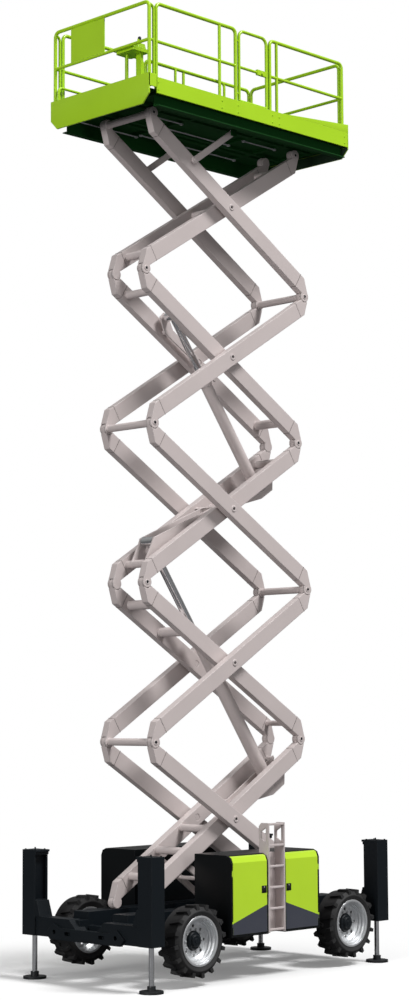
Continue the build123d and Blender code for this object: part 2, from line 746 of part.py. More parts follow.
with BuildPart() as toe_boards:
    for side in (1, -1):
        block(DECK_REAR, DECK_FRONT, side * (DECK_HALF - 20), side * DECK_HALF, TOE_LOW, TOE_LOW + TOE_H)
    block(DECK_REAR, DECK_REAR + 9.7, -DECK_HALF + 19, DECK_HALF - 19, TOE_LOW, TOE_LOW + TOE_H)

RAIL_Y = DECK_HALF - 45
HIGH = TOP_Z + RAIL_TOP - RAIL_R
MID = TOP_Z + RAIL_MID
POST_LOW = FLOOR_Z


def pipe(points, radius, corner):
    with BuildLine() as path:
        FilletPolyline(*points, radius=corner)
    start = path.line @ 0
    with BuildSketch(Plane(origin=start, z_dir=path.line % 0)) as face:
        Circle(radius)
    sweep(face.sketch, path=path.line)


def side_section(y, x0, x1, posts):
    pipe([(x0, y, POST_LOW), (x0, y, HIGH), (x1, y, HIGH), (x1, y, POST_LOW)], RAIL_R, 70)
    bar((x0, y, MID), (x1, y, MID), RAIL_R - 3)
    for x in posts:
        bar((x, y, POST_LOW), (x, y, HIGH), RAIL_R - 3)


RAIL_FRONT = DECK_FRONT - 25
RAIL_REAR = DECK_REAR + 64

with BuildPart() as rails_left:
    side_section(RAIL_Y, RAIL_FRONT, GATE_X, [GATE_X + 293])
    side_section(RAIL_Y, LATCH_X, RAIL_REAR, [LATCH_X - 131])

with BuildPart() as rails_right:
    side_section(-RAIL_Y, RAIL_FRONT, GATE_X, [GATE_X + 293])
    side_section(-RAIL_Y, GATE_X - 56, RAIL_REAR, [LATCH_X - 131])

with BuildPart() as rails_rear:
    y = RAIL_Y - 2 * RAIL_R - 0.3
    x = RAIL_REAR
    pipe([(x, y, POST_LOW), (x, y, HIGH), (x, -y, HIGH), (x, -y, POST_LOW)], RAIL_R, 70)
    bar_y(x, MID, RAIL_R - 3, -y, y)

GATE_FREE = LATCH_X + 63

with BuildPart() as gate:
    low = TOE_LOW + TOE_H + 20
    near = GATE_X - 64
    pipe([(near, RAIL_Y, low), (near, RAIL_Y, HIGH), (GATE_FREE, RAIL_Y, HIGH), (GATE_FREE, RAIL_Y, low)], RAIL_R - 3, 90)
    bar((near, RAIL_Y, MID), (GATE_FREE, RAIL_Y, MID), RAIL_R - 5)
    bar((near, RAIL_Y, low), (GATE_FREE, RAIL_Y, low), RAIL_R - 5)
    for z in (low + 90, HIGH - 140):
        bar((near, RAIL_Y, z), (GATE_X - RAIL_R - 0.3, RAIL_Y, z), 12)
    block(GATE_FREE + 15, GATE_FREE + 190, RAIL_Y - 10, RAIL_Y + 22, MID - 34, MID + 34)
    bar((GATE_FREE + 100, RAIL_Y + 21, MID), (GATE_FREE + 100, RAIL_Y + 34, MID), 20)

EXT_Y = RAIL_Y - 58
PANEL_LOW = FLOOR_Z - 50
PANEL_TOP = FLOOR_Z + 170

with BuildPart() as extension_deck:
    block(300, PANEL_X - 20.3, -EXT_Y - 20, EXT_Y + 20, FLOOR_Z + 0.3, FLOOR_Z + 12)

with BuildPart() as extension_panel:
    with BuildSketch(Plane(origin=(PANEL_X - 20, 0, 0), x_dir=(0, 1, 0), z_dir=(1, 0, 0))) as front:
        with BuildLine():
            Polyline(
                (-DECK_HALF, PANEL_TOP),
                (DECK_HALF, PANEL_TOP),
                (DECK_HALF, PANEL_LOW + 60),
                (DECK_HALF - 70, PANEL_LOW),
                (-DECK_HALF + 70, PANEL_LOW),
                (-DECK_HALF, PANEL_LOW + 60),
                close=True,
            )
        make_face()
    extrude(front.sketch, amount=20)
    for side in (1, -1):
        block(DECK_FRONT + 8, PANEL_X - 10, side * (DECK_HALF - 14), side * DECK_HALF, PANEL_LOW + 60, PANEL_TOP)

with BuildPart() as extension_rails:
    x = PANEL_X - 20.3 - RAIL_R
    y = DECK_HALF - 14.3 - RAIL_R
    low = FLOOR_Z + 12
    pipe([(x, y, low), (x, y, HIGH), (x, -y, HIGH), (x, -y, low)], RAIL_R, 70)
    bar_y(x, MID, RAIL_R - 3, -y, y)
    for side in (1, -1):
        top = MID - 250
        pipe([(x, side * (EXT_Y + 4), low), (x, side * (EXT_Y + 4), top), (480, side * (EXT_Y + 4), top),
              (480, side * (EXT_Y + 4), low)], RAIL_R - 6, 60)
        bar((1350, side * (EXT_Y + 4), low), (1350, side * (EXT_Y + 4), top), RAIL_R - 6)
        back = DECK_FRONT + 24
        pipe([(x, side * (y - 1), HIGH - 36), (back, side * (y - 1), HIGH - 36), (back, side * (y - 1), PANEL_TOP - 40)],
             RAIL_R - 5, 60)
        bar((x, side * (y - 1), MID), (back, side * (y - 1), MID), RAIL_R - 7)
    block(x - 6, x + 6, -560, 60, MID + 10, HIGH - 10)

STAND_X = PANEL_X - 210
STAND_Y = EXT_Y - 412
TRAY_Z = FLOOR_Z + 555

with BuildPart() as control_box:
    with BuildSketch(Plane(origin=(STAND_X, STAND_Y, TRAY_Z))) as face:
        RectangleRounded(260, 330, 30)
    extrude(face.sketch, amount=45)
    with BuildSketch(Plane(origin=(STAND_X - 30, STAND_Y + 60, TRAY_Z + 45))) as face:
        RectangleRounded(150, 180, 18)
    extrude(face.sketch, amount=70, taper=12)
    bar((STAND_X - 40, STAND_Y + 60, TRAY_Z + 110), (STAND_X - 52, STAND_Y + 60, TRAY_Z + 190), 14)
    block(STAND_X - 85, STAND_X - 45, STAND_Y + 20, STAND_Y + 110, FLOOR_Z + 12, TRAY_Z + 1)
    bar((STAND_X + 30, STAND_Y - 60, FLOOR_Z + 12), (STAND_X + 30, STAND_Y - 60, TRAY_Z + 1), 17)

PARTS = {
    "chassis": chassis,
    "front_outrigger": front_outrigger,
    "rear_outrigger": rear_outrigger,
    "jack_front_left": jack_front_left,
    "jack_front_right": jack_front_right,
    "jack_rear_left": jack_rear_left,
    "jack_rear_right": jack_rear_right,
    "front_axle": front_axle,
    "rear_axle": rear_axle,
    "knuckle_left": knuckle_left,
    "knuckle_right": knuckle_right,
    "tyre_front_left": tyre_front_left,
    "tyre_front_right": tyre_front_right,
    "tyre_rear_left": tyre_rear_left,
    "tyre_rear_right": tyre_rear_right,
    "rim_front_left": rim_front_left,
    "rim_front_right": rim_front_right,
    "rim_rear_left": rim_rear_left,
    "rim_rear_right": rim_rear_right,
    "cover_left": cover_left,
    "cover_right": cover_right,
    "door_front_left": door_front_left,
    "door_rear_left": door_rear_left,
    "door_front_right": door_front_right,
    "door_rear_right": door_rear_right,
    "engine": engine,
    "ladder": ladder,
    "base_strut": base_strut,
    "inner_frame_1": inner_frame_1,
    "inner_frame_2": inner_frame_2,
    "inner_frame_3": inner_frame_3,
    "inner_frame_4": inner_frame_4,
    "inner_frame_5": inner_frame_5,
    "outer_frame_1": outer_frame_1,
    "outer_frame_2": outer_frame_2,
    "outer_frame_3": outer_frame_3,
    "outer_frame_4": outer_frame_4,
    "outer_frame_5": outer_frame_5,
    "lower_cylinder_barrel": lower_cylinder_barrel,
    "lower_cylinder_rod": lower_cylinder_rod,
    "upper_cylinder_barrel": upper_cylinder_barrel,
    "upper_cylinder_rod": upper_cylinder_rod,
    "top_strut": top_strut,
    "platform_deck": platform_deck,
    "toe_boards": toe_boards,
    "rails_left": rails_left,
    "rails_right": rails_right,
    "rails_rear": rails_rear,
    "gate": gate,
    "extension_deck": extension_deck,
    "extension_panel": extension_panel,
    "extension_rails": extension_rails,
    "control_box": control_box,
}

for label, made in PARTS.items():
    made.part.label = label
    export_step(made.part, f"parts/{label}.step")
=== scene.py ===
# %% [markdown]
# Scissor lift, dressed for a studio picture
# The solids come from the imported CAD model, in metres, with X forward, Y to the left and Z up.
# The script gives every solid a finish and adds the small parts that a CAD model leaves out.

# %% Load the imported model
import math

import bmesh
import bpy
from mathutils import Matrix, Vector


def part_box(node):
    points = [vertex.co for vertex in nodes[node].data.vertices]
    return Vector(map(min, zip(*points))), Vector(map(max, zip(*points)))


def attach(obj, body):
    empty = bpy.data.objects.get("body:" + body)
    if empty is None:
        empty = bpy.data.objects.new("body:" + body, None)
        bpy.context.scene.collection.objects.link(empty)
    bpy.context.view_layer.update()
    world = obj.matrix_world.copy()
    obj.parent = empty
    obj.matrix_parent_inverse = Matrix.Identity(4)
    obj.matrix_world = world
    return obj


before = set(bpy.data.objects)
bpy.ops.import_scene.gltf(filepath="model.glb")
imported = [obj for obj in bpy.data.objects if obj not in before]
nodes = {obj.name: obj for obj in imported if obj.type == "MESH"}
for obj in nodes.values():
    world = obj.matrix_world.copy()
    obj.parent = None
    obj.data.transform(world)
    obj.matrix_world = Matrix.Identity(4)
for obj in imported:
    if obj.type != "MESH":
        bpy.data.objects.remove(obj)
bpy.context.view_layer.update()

# %% [markdown]
# Camera
# The photograph was taken from the front left with a long lens. Position and lens were fitted to
# points that repeat along the scissor stack, so the camera is written down as numbers.

# %% Camera
EYE = Vector((18.958, 18.581, 3.292))
YAW, PITCH, ROLL = (math.radians(a) for a in (224.520, 5.690, -0.322))
FOCAL_PX, PICTURE_H = 2074.4, 1000

ahead = Vector((math.cos(YAW) * math.cos(PITCH), math.sin(YAW) * math.cos(PITCH), math.sin(PITCH)))
right = Vector((math.sin(YAW), -math.cos(YAW), 0))
above = right.cross(ahead)
right_rolled = math.cos(ROLL) * right + math.sin(ROLL) * above
above_rolled = -math.sin(ROLL) * right + math.cos(ROLL) * above

lens = bpy.data.cameras.new("photo_camera")
lens.sensor_fit = "VERTICAL"
lens.sensor_height = 24
lens.lens = FOCAL_PX * lens.sensor_height / PICTURE_H
lens.clip_end = 300
camera = bpy.data.objects.new("photo_camera", lens)
camera.matrix_world = Matrix((
    (right_rolled.x, above_rolled.x, -ahead.x, EYE.x),
    (right_rolled.y, above_rolled.y, -ahead.y, EYE.y),
    (right_rolled.z, above_rolled.z, -ahead.z, EYE.z),
    (0, 0, 0, 1),
))
bpy.context.scene.collection.objects.link(camera)
bpy.context.scene.camera = camera
bpy.context.scene.view_settings.view_transform = "Standard"
print("lens", round(lens.lens, 2), "mm")

# %% [markdown]
# Studio
# A product picture stands on seamless white. A large pale floor keeps the soft shadow, and Light Path
# lets the camera see plain white while the lamps stay at a level that shows the paint as it is mixed.

# %% Floor, world and lamps
def new_material(name):
    material = bpy.data.materials.new(name)
    material.use_nodes = True
    return material, material.node_tree.nodes, material.node_tree.links


def studio_floor():
    material, tree, links = new_material("studio_floor")
    shader = tree["Principled BSDF"]
    shader.inputs["Roughness"].default_value = 0.9
    white = tree.new("ShaderNodeEmission")
    white.inputs["Strength"].default_value = 1.0
    ray = tree.new("ShaderNodeLightPath")
    bounce = tree.new("ShaderNodeMix")
    bounce.data_type = "RGBA"
    bounce.inputs[6].default_value = (0.10, 0.10, 0.105, 1)
    bounce.inputs[7].default_value = (0.95, 0.95, 0.95, 1)
    links.new(ray.outputs["Is Camera Ray"], bounce.inputs[0])
    links.new(bounce.outputs[2], shader.inputs["Base Color"])
    place = tree.new("ShaderNodeTexCoord")
    far = tree.new("ShaderNodeVectorMath")
    far.operation = "LENGTH"
    fade = tree.new("ShaderNodeMapRange")
    fade.interpolation_type = "SMOOTHSTEP"
    fade.inputs["From Min"].default_value = 2.2
    fade.inputs["From Max"].default_value = 4.6
    fade.inputs["To Min"].default_value = 0.15
    both = tree.new("ShaderNodeMath")
    both.operation = "MULTIPLY"
    blend = tree.new("ShaderNodeMixShader")
    links.new(place.outputs["Object"], far.inputs[0])
    links.new(far.outputs["Value"], fade.inputs["Value"])
    links.new(fade.outputs["Result"], both.inputs[0])
    links.new(ray.outputs["Is Camera Ray"], both.inputs[1])
    links.new(both.outputs[0], blend.inputs[0])
    links.new(shader.outputs[0], blend.inputs[1])
    links.new(white.outputs[0], blend.inputs[2])
    links.new(blend.outputs[0], tree["Material Output"].inputs["Surface"])
    mesh = bpy.data.meshes.new("studio_floor")
    reach = 60
    corners = [(x * reach, y * reach, 0) for x, y in ((-1, -1), (1, -1), (1, 1), (-1, 1))]
    mesh.from_pydata(corners, [], [(0, 1, 2, 3)])
    mesh.materials.append(material)
    floor = bpy.data.objects.new("studio_floor", mesh)
    bpy.context.scene.collection.objects.link(floor)
    return floor


floor = studio_floor()
world = bpy.data.worlds.new("studio_world")
bpy.context.scene.world = world
world.use_nodes = True
sky = world.node_tree
back = sky.nodes["Background"]
path = sky.nodes.new("ShaderNodeLightPath")
aim = sky.nodes.new("ShaderNodeTexCoord")
parts = sky.nodes.new("ShaderNodeSeparateXYZ")
grade = sky.nodes.new("ShaderNodeMapRange")
grade.inputs["From Min"].default_value = -0.35
grade.inputs["From Max"].default_value = 0.95
grade.inputs["To Min"].default_value = 0.06
grade.inputs["To Max"].default_value = 0.36
pick = sky.nodes.new("ShaderNodeMix")
pick.data_type = "FLOAT"
pick.inputs[3].default_value = 1.0
sky.links.new(aim.outputs["Generated"], parts.inputs[0])
sky.links.new(parts.outputs["Z"], grade.inputs["Value"])
sky.links.new(path.outputs["Is Camera Ray"], pick.inputs[0])
sky.links.new(grade.outputs["Result"], pick.inputs[2])
sky.links.new(pick.outputs[0], back.inputs["Strength"])
back.inputs["Color"].default_value = (1, 1, 1, 1)


def lamp(name, place, target, size, power):
    light = bpy.data.lights.new(name, "AREA")
    light.shape = "DISK"
    light.size = size
    light.energy = power
    holder = bpy.data.objects.new(name, light)
    holder.location = place
    holder.rotation_euler = (Vector(target) - Vector(place)).to_track_quat("-Z", "Y").to_euler()
    bpy.context.scene.collection.objects.link(holder)
    return holder


lamp("key_light", (-15, 42, 67), (0, 0, 4), 24, 57000)
lamp("side_light", (3, 24, 8), (0, 0, 4), 9, 700)
lamp("front_light", (40, 4, 12), (0, 0, 6), 14, 7000)
print("floor", floor.name)

# %% [markdown]
# Shared effects
# Painted machines show three things everywhere: rubbed edges, dust that settles low down, and a faint
# ripple in the paint. On the arms the edge mask also paints a highlight along the rounded edges. Each is
# a node group, so that every paint can use it with its own strength.

# %% Shader groups
def effect_group(name, inputs, outputs):
    group = bpy.data.node_groups.new(name, "ShaderNodeTree")
    for label, kind, value in inputs:
        socket = group.interface.new_socket(label, in_out="INPUT", socket_type=kind)
        socket.default_value = value
    for label, kind in outputs:
        group.interface.new_socket(label, in_out="OUTPUT", socket_type=kind)
    return group, group.nodes.new("NodeGroupInput"), group.nodes.new("NodeGroupOutput")


def join(group, *pairs):
    for source, target in pairs:
        group.links.new(source, target)


def math_node(tree, operation, a=None, b=None, clamp=False):
    node = tree.nodes.new("ShaderNodeMath")
    node.operation = operation
    node.use_clamp = clamp
    for index, value in enumerate((a, b)):
        if value is None:
            continue
        if isinstance(value, (int, float)):
            node.inputs[index].default_value = value
        else:
            tree.links.new(value, node.inputs[index])
    return node.outputs[0]


def edge_wear_and_highlight_group():
    group, took, gave = effect_group(
        "edge_wear_and_highlight",
        [("Width", "NodeSocketFloat", 0.006), ("Amount", "NodeSocketFloat", 0.5)],
        [("Mask", "NodeSocketFloat")],
    )
    # Edge mask: rubbed paint on most parts; on the arms its light tone is a painted highlight.
    bevel = group.nodes.new("ShaderNodeBevel")
    bevel.samples = 4
    face = group.nodes.new("ShaderNodeNewGeometry")
    dot = group.nodes.new("ShaderNodeVectorMath")
    dot.operation = "DOT_PRODUCT"
    place = group.nodes.new("ShaderNodeTexCoord")
    noise = group.nodes.new("ShaderNodeTexNoise")
    noise.inputs["Scale"].default_value = 11
    noise.inputs["Detail"].default_value = 6
    join(
        group,
        (took.outputs["Width"], bevel.inputs["Radius"]),
        (bevel.outputs["Normal"], dot.inputs[0]),
        (face.outputs["Normal"], dot.inputs[1]),
        (place.outputs["Object"], noise.inputs["Vector"]),
    )
    bend = math_node(group, "SUBTRACT", 1.0, dot.outputs["Value"])
    strong = math_node(group, "MULTIPLY", bend, 9.0, True)
    patch = math_node(group, "SUBTRACT", noise.outputs["Fac"], 0.42)
    patch = math_node(group, "MULTIPLY", patch, 5.0, True)
    both = math_node(group, "MULTIPLY", strong, patch)
    worn_and_lit_edge = math_node(group, "MULTIPLY", both, took.outputs["Amount"], True)
    join(group, (worn_and_lit_edge, gave.inputs["Mask"]))
    return group


def settled_dust_group():
    group, took, gave = effect_group(
        "settled_dust",
        [
            ("Low", "NodeSocketFloat", 0.1),
            ("High", "NodeSocketFloat", 1.4),
            ("Amount", "NodeSocketFloat", 0.4),
        ],
        [("Mask", "NodeSocketFloat")],
    )
    place = group.nodes.new("ShaderNodeTexCoord")
    axes = group.nodes.new("ShaderNodeSeparateXYZ")
    span = group.nodes.new("ShaderNodeMapRange")
    noise = group.nodes.new("ShaderNodeTexNoise")
    noise.inputs["Scale"].default_value = 3.2
    noise.inputs["Detail"].default_value = 8
    noise.inputs["Roughness"].default_value = 0.62
    join(
        group,
        (place.outputs["Object"], axes.inputs[0]),
        (place.outputs["Object"], noise.inputs["Vector"]),
        (axes.outputs["Z"], span.inputs["Value"]),
        (took.outputs["High"], span.inputs["From Min"]),
        (took.outputs["Low"], span.inputs["From Max"]),
    )
    cloud = math_node(group, "SUBTRACT", noise.outputs["Fac"], 0.3)
    cloud = math_node(group, "MULTIPLY", cloud, 1.9, True)
    dust = math_node(group, "MULTIPLY", span.outputs["Result"], cloud)
    dust = math_node(group, "MULTIPLY", dust, took.outputs["Amount"], True)
    join(group, (dust, gave.inputs["Mask"]))
    return group


def paint_skin_group():
    group, took, gave = effect_group(
        "paint_skin",
        [("Scale", "NodeSocketFloat", 90.0)],
        [("Height", "NodeSocketFloat"), ("Tone", "NodeSocketFloat")],
    )
    place = group.nodes.new("ShaderNodeTexCoord")
    fine = group.nodes.new("ShaderNodeTexNoise")
    fine.inputs["Detail"].default_value = 2
    wide = group.nodes.new("ShaderNodeTexNoise")
    wide.inputs["Scale"].default_value = 1.7
    wide.inputs["Detail"].default_value = 5
    join(
        group,
        (place.outputs["Object"], fine.inputs["Vector"]),
        (place.outputs["Object"], wide.inputs["Vector"]),
        (took.outputs["Scale"], fine.inputs["Scale"]),
        (fine.outputs["Fac"], gave.inputs["Height"]),
        (wide.outputs["Fac"], gave.inputs["Tone"]),
    )
    return group


EDGE_WEAR_AND_HIGHLIGHT = edge_wear_and_highlight_group()
SETTLED_DUST = settled_dust_group()
PAINT_SKIN = paint_skin_group()
print("groups", [g.name for g in bpy.data.node_groups])

# %% [markdown]
# Paint
# All paints on the machine are one recipe: a base colour that drifts a little, rubbed edges in a
# lighter or bare tone, which on the arms is a painted highlight as well as wear, dust below, and a small
# bump. Only the values change from part to part.

# %% Paint recipe
DUST = (0.36, 0.33, 0.28, 1)
STUD_PITCH = 0.07


def place_group(tree, group, **values):
    node = tree.nodes.new("ShaderNodeGroup")
    node.node_tree = group
    for label, value in values.items():
        node.inputs[label].default_value = value
    return node


def mix_colour(tree, mask, first, second):
    node = tree.nodes.new("ShaderNodeMix")
    node.data_type = "RGBA"
    tree.links.new(mask, node.inputs[0])
    for index, value in ((6, first), (7, second)):
        if isinstance(value, tuple):
            node.inputs[index].default_value = value
        else:
            tree.links.new(value, node.inputs[index])
    return node.outputs[2]


def shade(colour, factor):
    return (colour[0] * factor, colour[1] * factor, colour[2] * factor, 1)


def tread_studs(tree):
    """Raised studs of a tread plate, set diagonally, from two crossed sine waves."""
    place = tree.nodes.new("ShaderNodeTexCoord")
    axes = tree.nodes.new("ShaderNodeSeparateXYZ")
    tree.links.new(place.outputs["Object"], axes.inputs[0])
    turns = 2 * math.pi / STUD_PITCH
    rows = []
    for sign in ("ADD", "SUBTRACT"):
        slant = math_node(tree, sign, axes.outputs["X"], axes.outputs["Y"])
        rows.append(math_node(tree, "SINE", math_node(tree, "MULTIPLY", slant, turns)))
    studs = math_node(tree, "MULTIPLY", rows[0], rows[1])
    return math_node(tree, "MULTIPLY", math_node(tree, "SUBTRACT", studs, 0.35), 2.5, True)


def paint(name, colour, worn_and_lit_edge, rough, wear_and_highlight_amount=0.5, dust=0.4, dust_top=1.3, skin=0.06, coat=0.0,
          metal=0.0, panel=None, tread=0.0, shine=0.5, edge=0.006):
    """One coat of paint: the edge tone is rubbed paint, and on the arms a painted highlight; panel recolours
    the base, tread adds raised studs.
    """
    material, tree_nodes, links = new_material(name)
    tree = material.node_tree
    shader = tree_nodes["Principled BSDF"]
    skin_node = place_group(tree, PAINT_SKIN)
    base = mix_colour(tree, skin_node.outputs["Tone"], shade(colour, 0.93), shade(colour, 1.07))
    if panel:
        base = panel(tree, base)
    # The edge mask lays the edge tone on worn edges, and on the arms a painted highlight along the edges.
    wear_and_highlight_node = place_group(tree, EDGE_WEAR_AND_HIGHLIGHT, Width=edge, Amount=wear_and_highlight_amount)
    dust_node = place_group(tree, SETTLED_DUST, High=dust_top, Amount=dust)
    rubbed_and_lit = mix_colour(tree, wear_and_highlight_node.outputs["Mask"], base, worn_and_lit_edge)
    final = mix_colour(tree, dust_node.outputs["Mask"], rubbed_and_lit, DUST)
    links.new(final, shader.inputs["Base Color"])
    rough_up = math_node(tree, "MULTIPLY", dust_node.outputs["Mask"], 0.5)
    drift = math_node(tree, "MULTIPLY", skin_node.outputs["Tone"], 0.12)
    total = math_node(tree, "ADD", rough_up, drift)
    links.new(math_node(tree, "ADD", total, rough - 0.06, True), shader.inputs["Roughness"])
    soft = tree_nodes.new("ShaderNodeBevel")
    soft.samples = 4
    soft.inputs["Radius"].default_value = edge + 0.002
    bump = tree_nodes.new("ShaderNodeBump")
    links.new(soft.outputs["Normal"], bump.inputs["Normal"])
    bump.inputs["Strength"].default_value = skin
    bump.inputs["Distance"].default_value = 0.002
    height = skin_node.outputs["Height"]
    if tread:
        bump.inputs["Strength"].default_value = tread
        height = math_node(tree, "ADD", math_node(tree, "MULTIPLY", height, 0.1), tread_studs(tree))
    links.new(height, bump.inputs["Height"])
    links.new(bump.outputs["Normal"], shader.inputs["Normal"])
    shader.inputs["Metallic"].default_value = metal
    shader.inputs["Specular IOR Level"].default_value = shine
    shader.inputs["Coat Weight"].default_value = coat
    shader.inputs["Coat Roughness"].default_value = 0.08
    return material


def tone(r, g, b):
    def linear(v):
        v /= 255
        return v / 12.92 if v <= 0.04045 else ((v + 0.055) / 1.055) ** 2.4
    return (linear(r), linear(g), linear(b), 1)


LIME = tone(174, 220, 26)
LIME_WORN = tone(205, 228, 120)
SLATE = tone(62, 65, 76)
UNDERSIDE = tone(10, 44, 18)
FLOOR_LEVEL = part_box("platform_deck")[1][2]
LADDER_X, SLATE_PEAK, SLATE_SLOPE = 0.012, 0.95, -0.318


def door_panel(tree, base):
    """Slate corner below a slanted line: it rises towards the ladder from both ends."""
    place = tree.nodes.new("ShaderNodeTexCoord")
    axes = tree.nodes.new("ShaderNodeSeparateXYZ")
    tree.links.new(place.outputs["Object"], axes.inputs[0])
    off = math_node(tree, "SUBTRACT", axes.outputs["X"], LADDER_X)
    off = math_node(tree, "ABSOLUTE", off)
    drop = math_node(tree, "MULTIPLY", off, SLATE_SLOPE)
    line = math_node(tree, "ADD", drop, SLATE_PEAK)
    under = math_node(tree, "LESS_THAN", axes.outputs["Z"], line)
    return mix_colour(tree, under, base, SLATE)


def dark_inside(tree, base):
    """End plates are lime outside; below the floor their inner faces carry the dark underside colour."""
    place = tree.nodes.new("ShaderNodeTexCoord")
    spot = tree.nodes.new("ShaderNodeSeparateXYZ")
    facing = tree.nodes.new("ShaderNodeSeparateXYZ")
    face = tree.nodes.new("ShaderNodeNewGeometry")
    tree.links.new(place.outputs["Object"], spot.inputs[0])
    tree.links.new(face.outputs["True Normal"], facing.inputs[0])
    inward = math_node(tree, "MULTIPLY", spot.outputs["X"], facing.outputs["X"])
    inner = math_node(tree, "LESS_THAN", inward, -0.8)
    low = math_node(tree, "LESS_THAN", spot.outputs["Z"], FLOOR_LEVEL)
    return mix_colour(tree, math_node(tree, "MULTIPLY", inner, low), base, UNDERSIDE)


# The arms' pale edge tone and strong edge amount paint a highlight along the rounded edges, on top of wear.
ARM_GREY = paint("arm_grey", tone(203, 192, 190), tone(242, 235, 233), 0.36,
                 wear_and_highlight_amount=0.6, dust=0.04, dust_top=4.0, edge=0.014)
LATCH_BLACK = paint("latch_black", tone(12, 13, 15), tone(40, 42, 44), 0.6,
                    wear_and_highlight_amount=0.3, dust=0.05, dust_top=1.0, shine=0.3)
FRAME_BLACK = paint("frame_black", tone(17, 23, 28), tone(62, 65, 68), 0.42,
                    wear_and_highlight_amount=0.5, dust=0.03, dust_top=0.8, shine=0.2)
COVER_BLACK = paint("cover_black", tone(10, 13, 15), tone(66, 69, 74), 0.34,
                    wear_and_highlight_amount=0.4, dust=0.03, dust_top=0.9, shine=0.2)
LIME_PAINT = paint("lime_paint", LIME, LIME_WORN, 0.34,
                   wear_and_highlight_amount=0.1, dust=0.05, dust_top=1.0, skin=0.015, coat=0.2, edge=0.0005)
END_PAINT = paint("end_paint", LIME, LIME_WORN, 0.34,
                  wear_and_highlight_amount=0.1, dust=0.05, dust_top=1.0, coat=0.2, panel=dark_inside)
# The doors' lime is a lighter copy of the lime paint, painted light that makes up for the dimmer lamps low
# on the chassis; the slate corner is real two-tone paint.
DOOR_PAINT = paint("door_paint", tone(192, 231, 46), LIME_WORN, 0.3,
                   wear_and_highlight_amount=0.45, dust=0.08, dust_top=1.0, coat=0.35, panel=door_panel)
DECK_GREEN = paint("deck_green", tone(12, 66, 20), tone(40, 78, 34), 0.8,
                   wear_and_highlight_amount=0.3, dust=0.1, dust_top=1.0, tread=0.5, shine=0.15)
RIM_SILVER = paint("rim_silver", tone(222, 224, 226), tone(170, 170, 170), 0.36,
                   wear_and_highlight_amount=0.3, dust=0.1, dust_top=0.7, metal=0.7, skin=0.02)
ENGINE_GREY = paint("engine_grey", tone(92, 94, 98), tone(150, 150, 150), 0.55, wear_and_highlight_amount=0.6, dust=0.3)
print("paints", len(bpy.data.materials))

# %% [markdown]
# Chrome and rubber
# The rods are hard chrome with faint wiping marks along them. The tyres are matt rubber, greyer where
# earth has dried on the lugs.

# %% Chrome and rubber
def chrome():
    material, tree_nodes, links = new_material("hard_chrome")
    tree = material.node_tree
    shader = tree_nodes["Principled BSDF"]
    shader.inputs["Metallic"].default_value = 1
    place = tree_nodes.new("ShaderNodeTexCoord")
    marks = tree_nodes.new("ShaderNodeTexNoise")
    marks.inputs["Scale"].default_value = 60
    marks.inputs["Detail"].default_value = 4
    links.new(place.outputs["Object"], marks.inputs["Vector"])
    tint = mix_colour(tree, marks.outputs["Fac"], (0.82, 0.83, 0.84, 1), (0.94, 0.95, 0.96, 1))
    links.new(tint, shader.inputs["Base Color"])
    links.new(math_node(tree, "MULTIPLY", marks.outputs["Fac"], 0.3), shader.inputs["Roughness"])
    return material


def rubber():
    material, tree_nodes, links = new_material("tyre_rubber")
    tree = material.node_tree
    shader = tree_nodes["Principled BSDF"]
    place = tree_nodes.new("ShaderNodeTexCoord")
    grain = tree_nodes.new("ShaderNodeTexNoise")
    grain.inputs["Scale"].default_value = 140
    grain.inputs["Detail"].default_value = 5
    links.new(place.outputs["Object"], grain.inputs["Vector"])
    dust_node = place_group(tree, SETTLED_DUST, Low=-0.4, High=1.1, Amount=0.12)
    wear_and_highlight_node = place_group(tree, EDGE_WEAR_AND_HIGHLIGHT, Width=0.01, Amount=0.5)
    base = mix_colour(tree, grain.outputs["Fac"], (0.007, 0.007, 0.008, 1), (0.018, 0.018, 0.019, 1))
    base = mix_colour(tree, wear_and_highlight_node.outputs["Mask"], base, (0.03, 0.03, 0.03, 1))
    dusty = mix_colour(tree, dust_node.outputs["Mask"], base, (0.14, 0.13, 0.115, 1))
    links.new(dusty, shader.inputs["Base Color"])
    grainy = math_node(tree, "MULTIPLY", grain.outputs["Fac"], 0.3)
    links.new(math_node(tree, "ADD", grainy, 0.55), shader.inputs["Roughness"])
    bump = tree_nodes.new("ShaderNodeBump")
    bump.inputs["Strength"].default_value = 0.25
    bump.inputs["Distance"].default_value = 0.002
    links.new(grain.outputs["Fac"], bump.inputs["Height"])
    links.new(bump.outputs["Normal"], shader.inputs["Normal"])
    return material


HARD_CHROME = chrome()
TYRE_RUBBER = rubber()

# %% [markdown]
# Dressing the solids
# Each CAD solid keeps its shape and only changes its material slot, by name.

# %% Give each solid its finish
WHEELS = ("front_left", "front_right", "rear_left", "rear_right")
finish = {}
for name in nodes:
    finish[name] = FRAME_BLACK
    if "frame_" in name or "strut" in name or "barrel" in name or name == "ladder":
        finish[name] = ARM_GREY
    elif name.startswith("jack_") or name.endswith("_rod"):
        finish[name] = HARD_CHROME
    elif name.startswith("tyre_"):
        finish[name] = TYRE_RUBBER
    elif name.startswith("rim_"):
        finish[name] = RIM_SILVER
    elif name.startswith("door_"):
        finish[name] = DOOR_PAINT
    elif name.startswith("cover_"):
        finish[name] = COVER_BLACK
    elif name in ("platform_deck", "extension_deck"):
        finish[name] = DECK_GREEN
    elif name == "engine":
        finish[name] = ENGINE_GREY
    elif name in ("toe_boards", "extension_panel"):
        finish[name] = END_PAINT
    elif name.startswith(("rails_", "gate", "extension_", "control_")):
        finish[name] = LIME_PAINT
for name, node in nodes.items():
    for slot in node.material_slots:
        slot.material = finish[name]
print("dressed", len(finish))

# %% [markdown]
# Jack feet
# A jack is one solid, but only its rod is chrome: the foot and its socket are painted black. The
# change is at one height, so the material mixes two finishes by the height of the point at rest.

# %% Jack finish
FOOT_TOP = 0.088


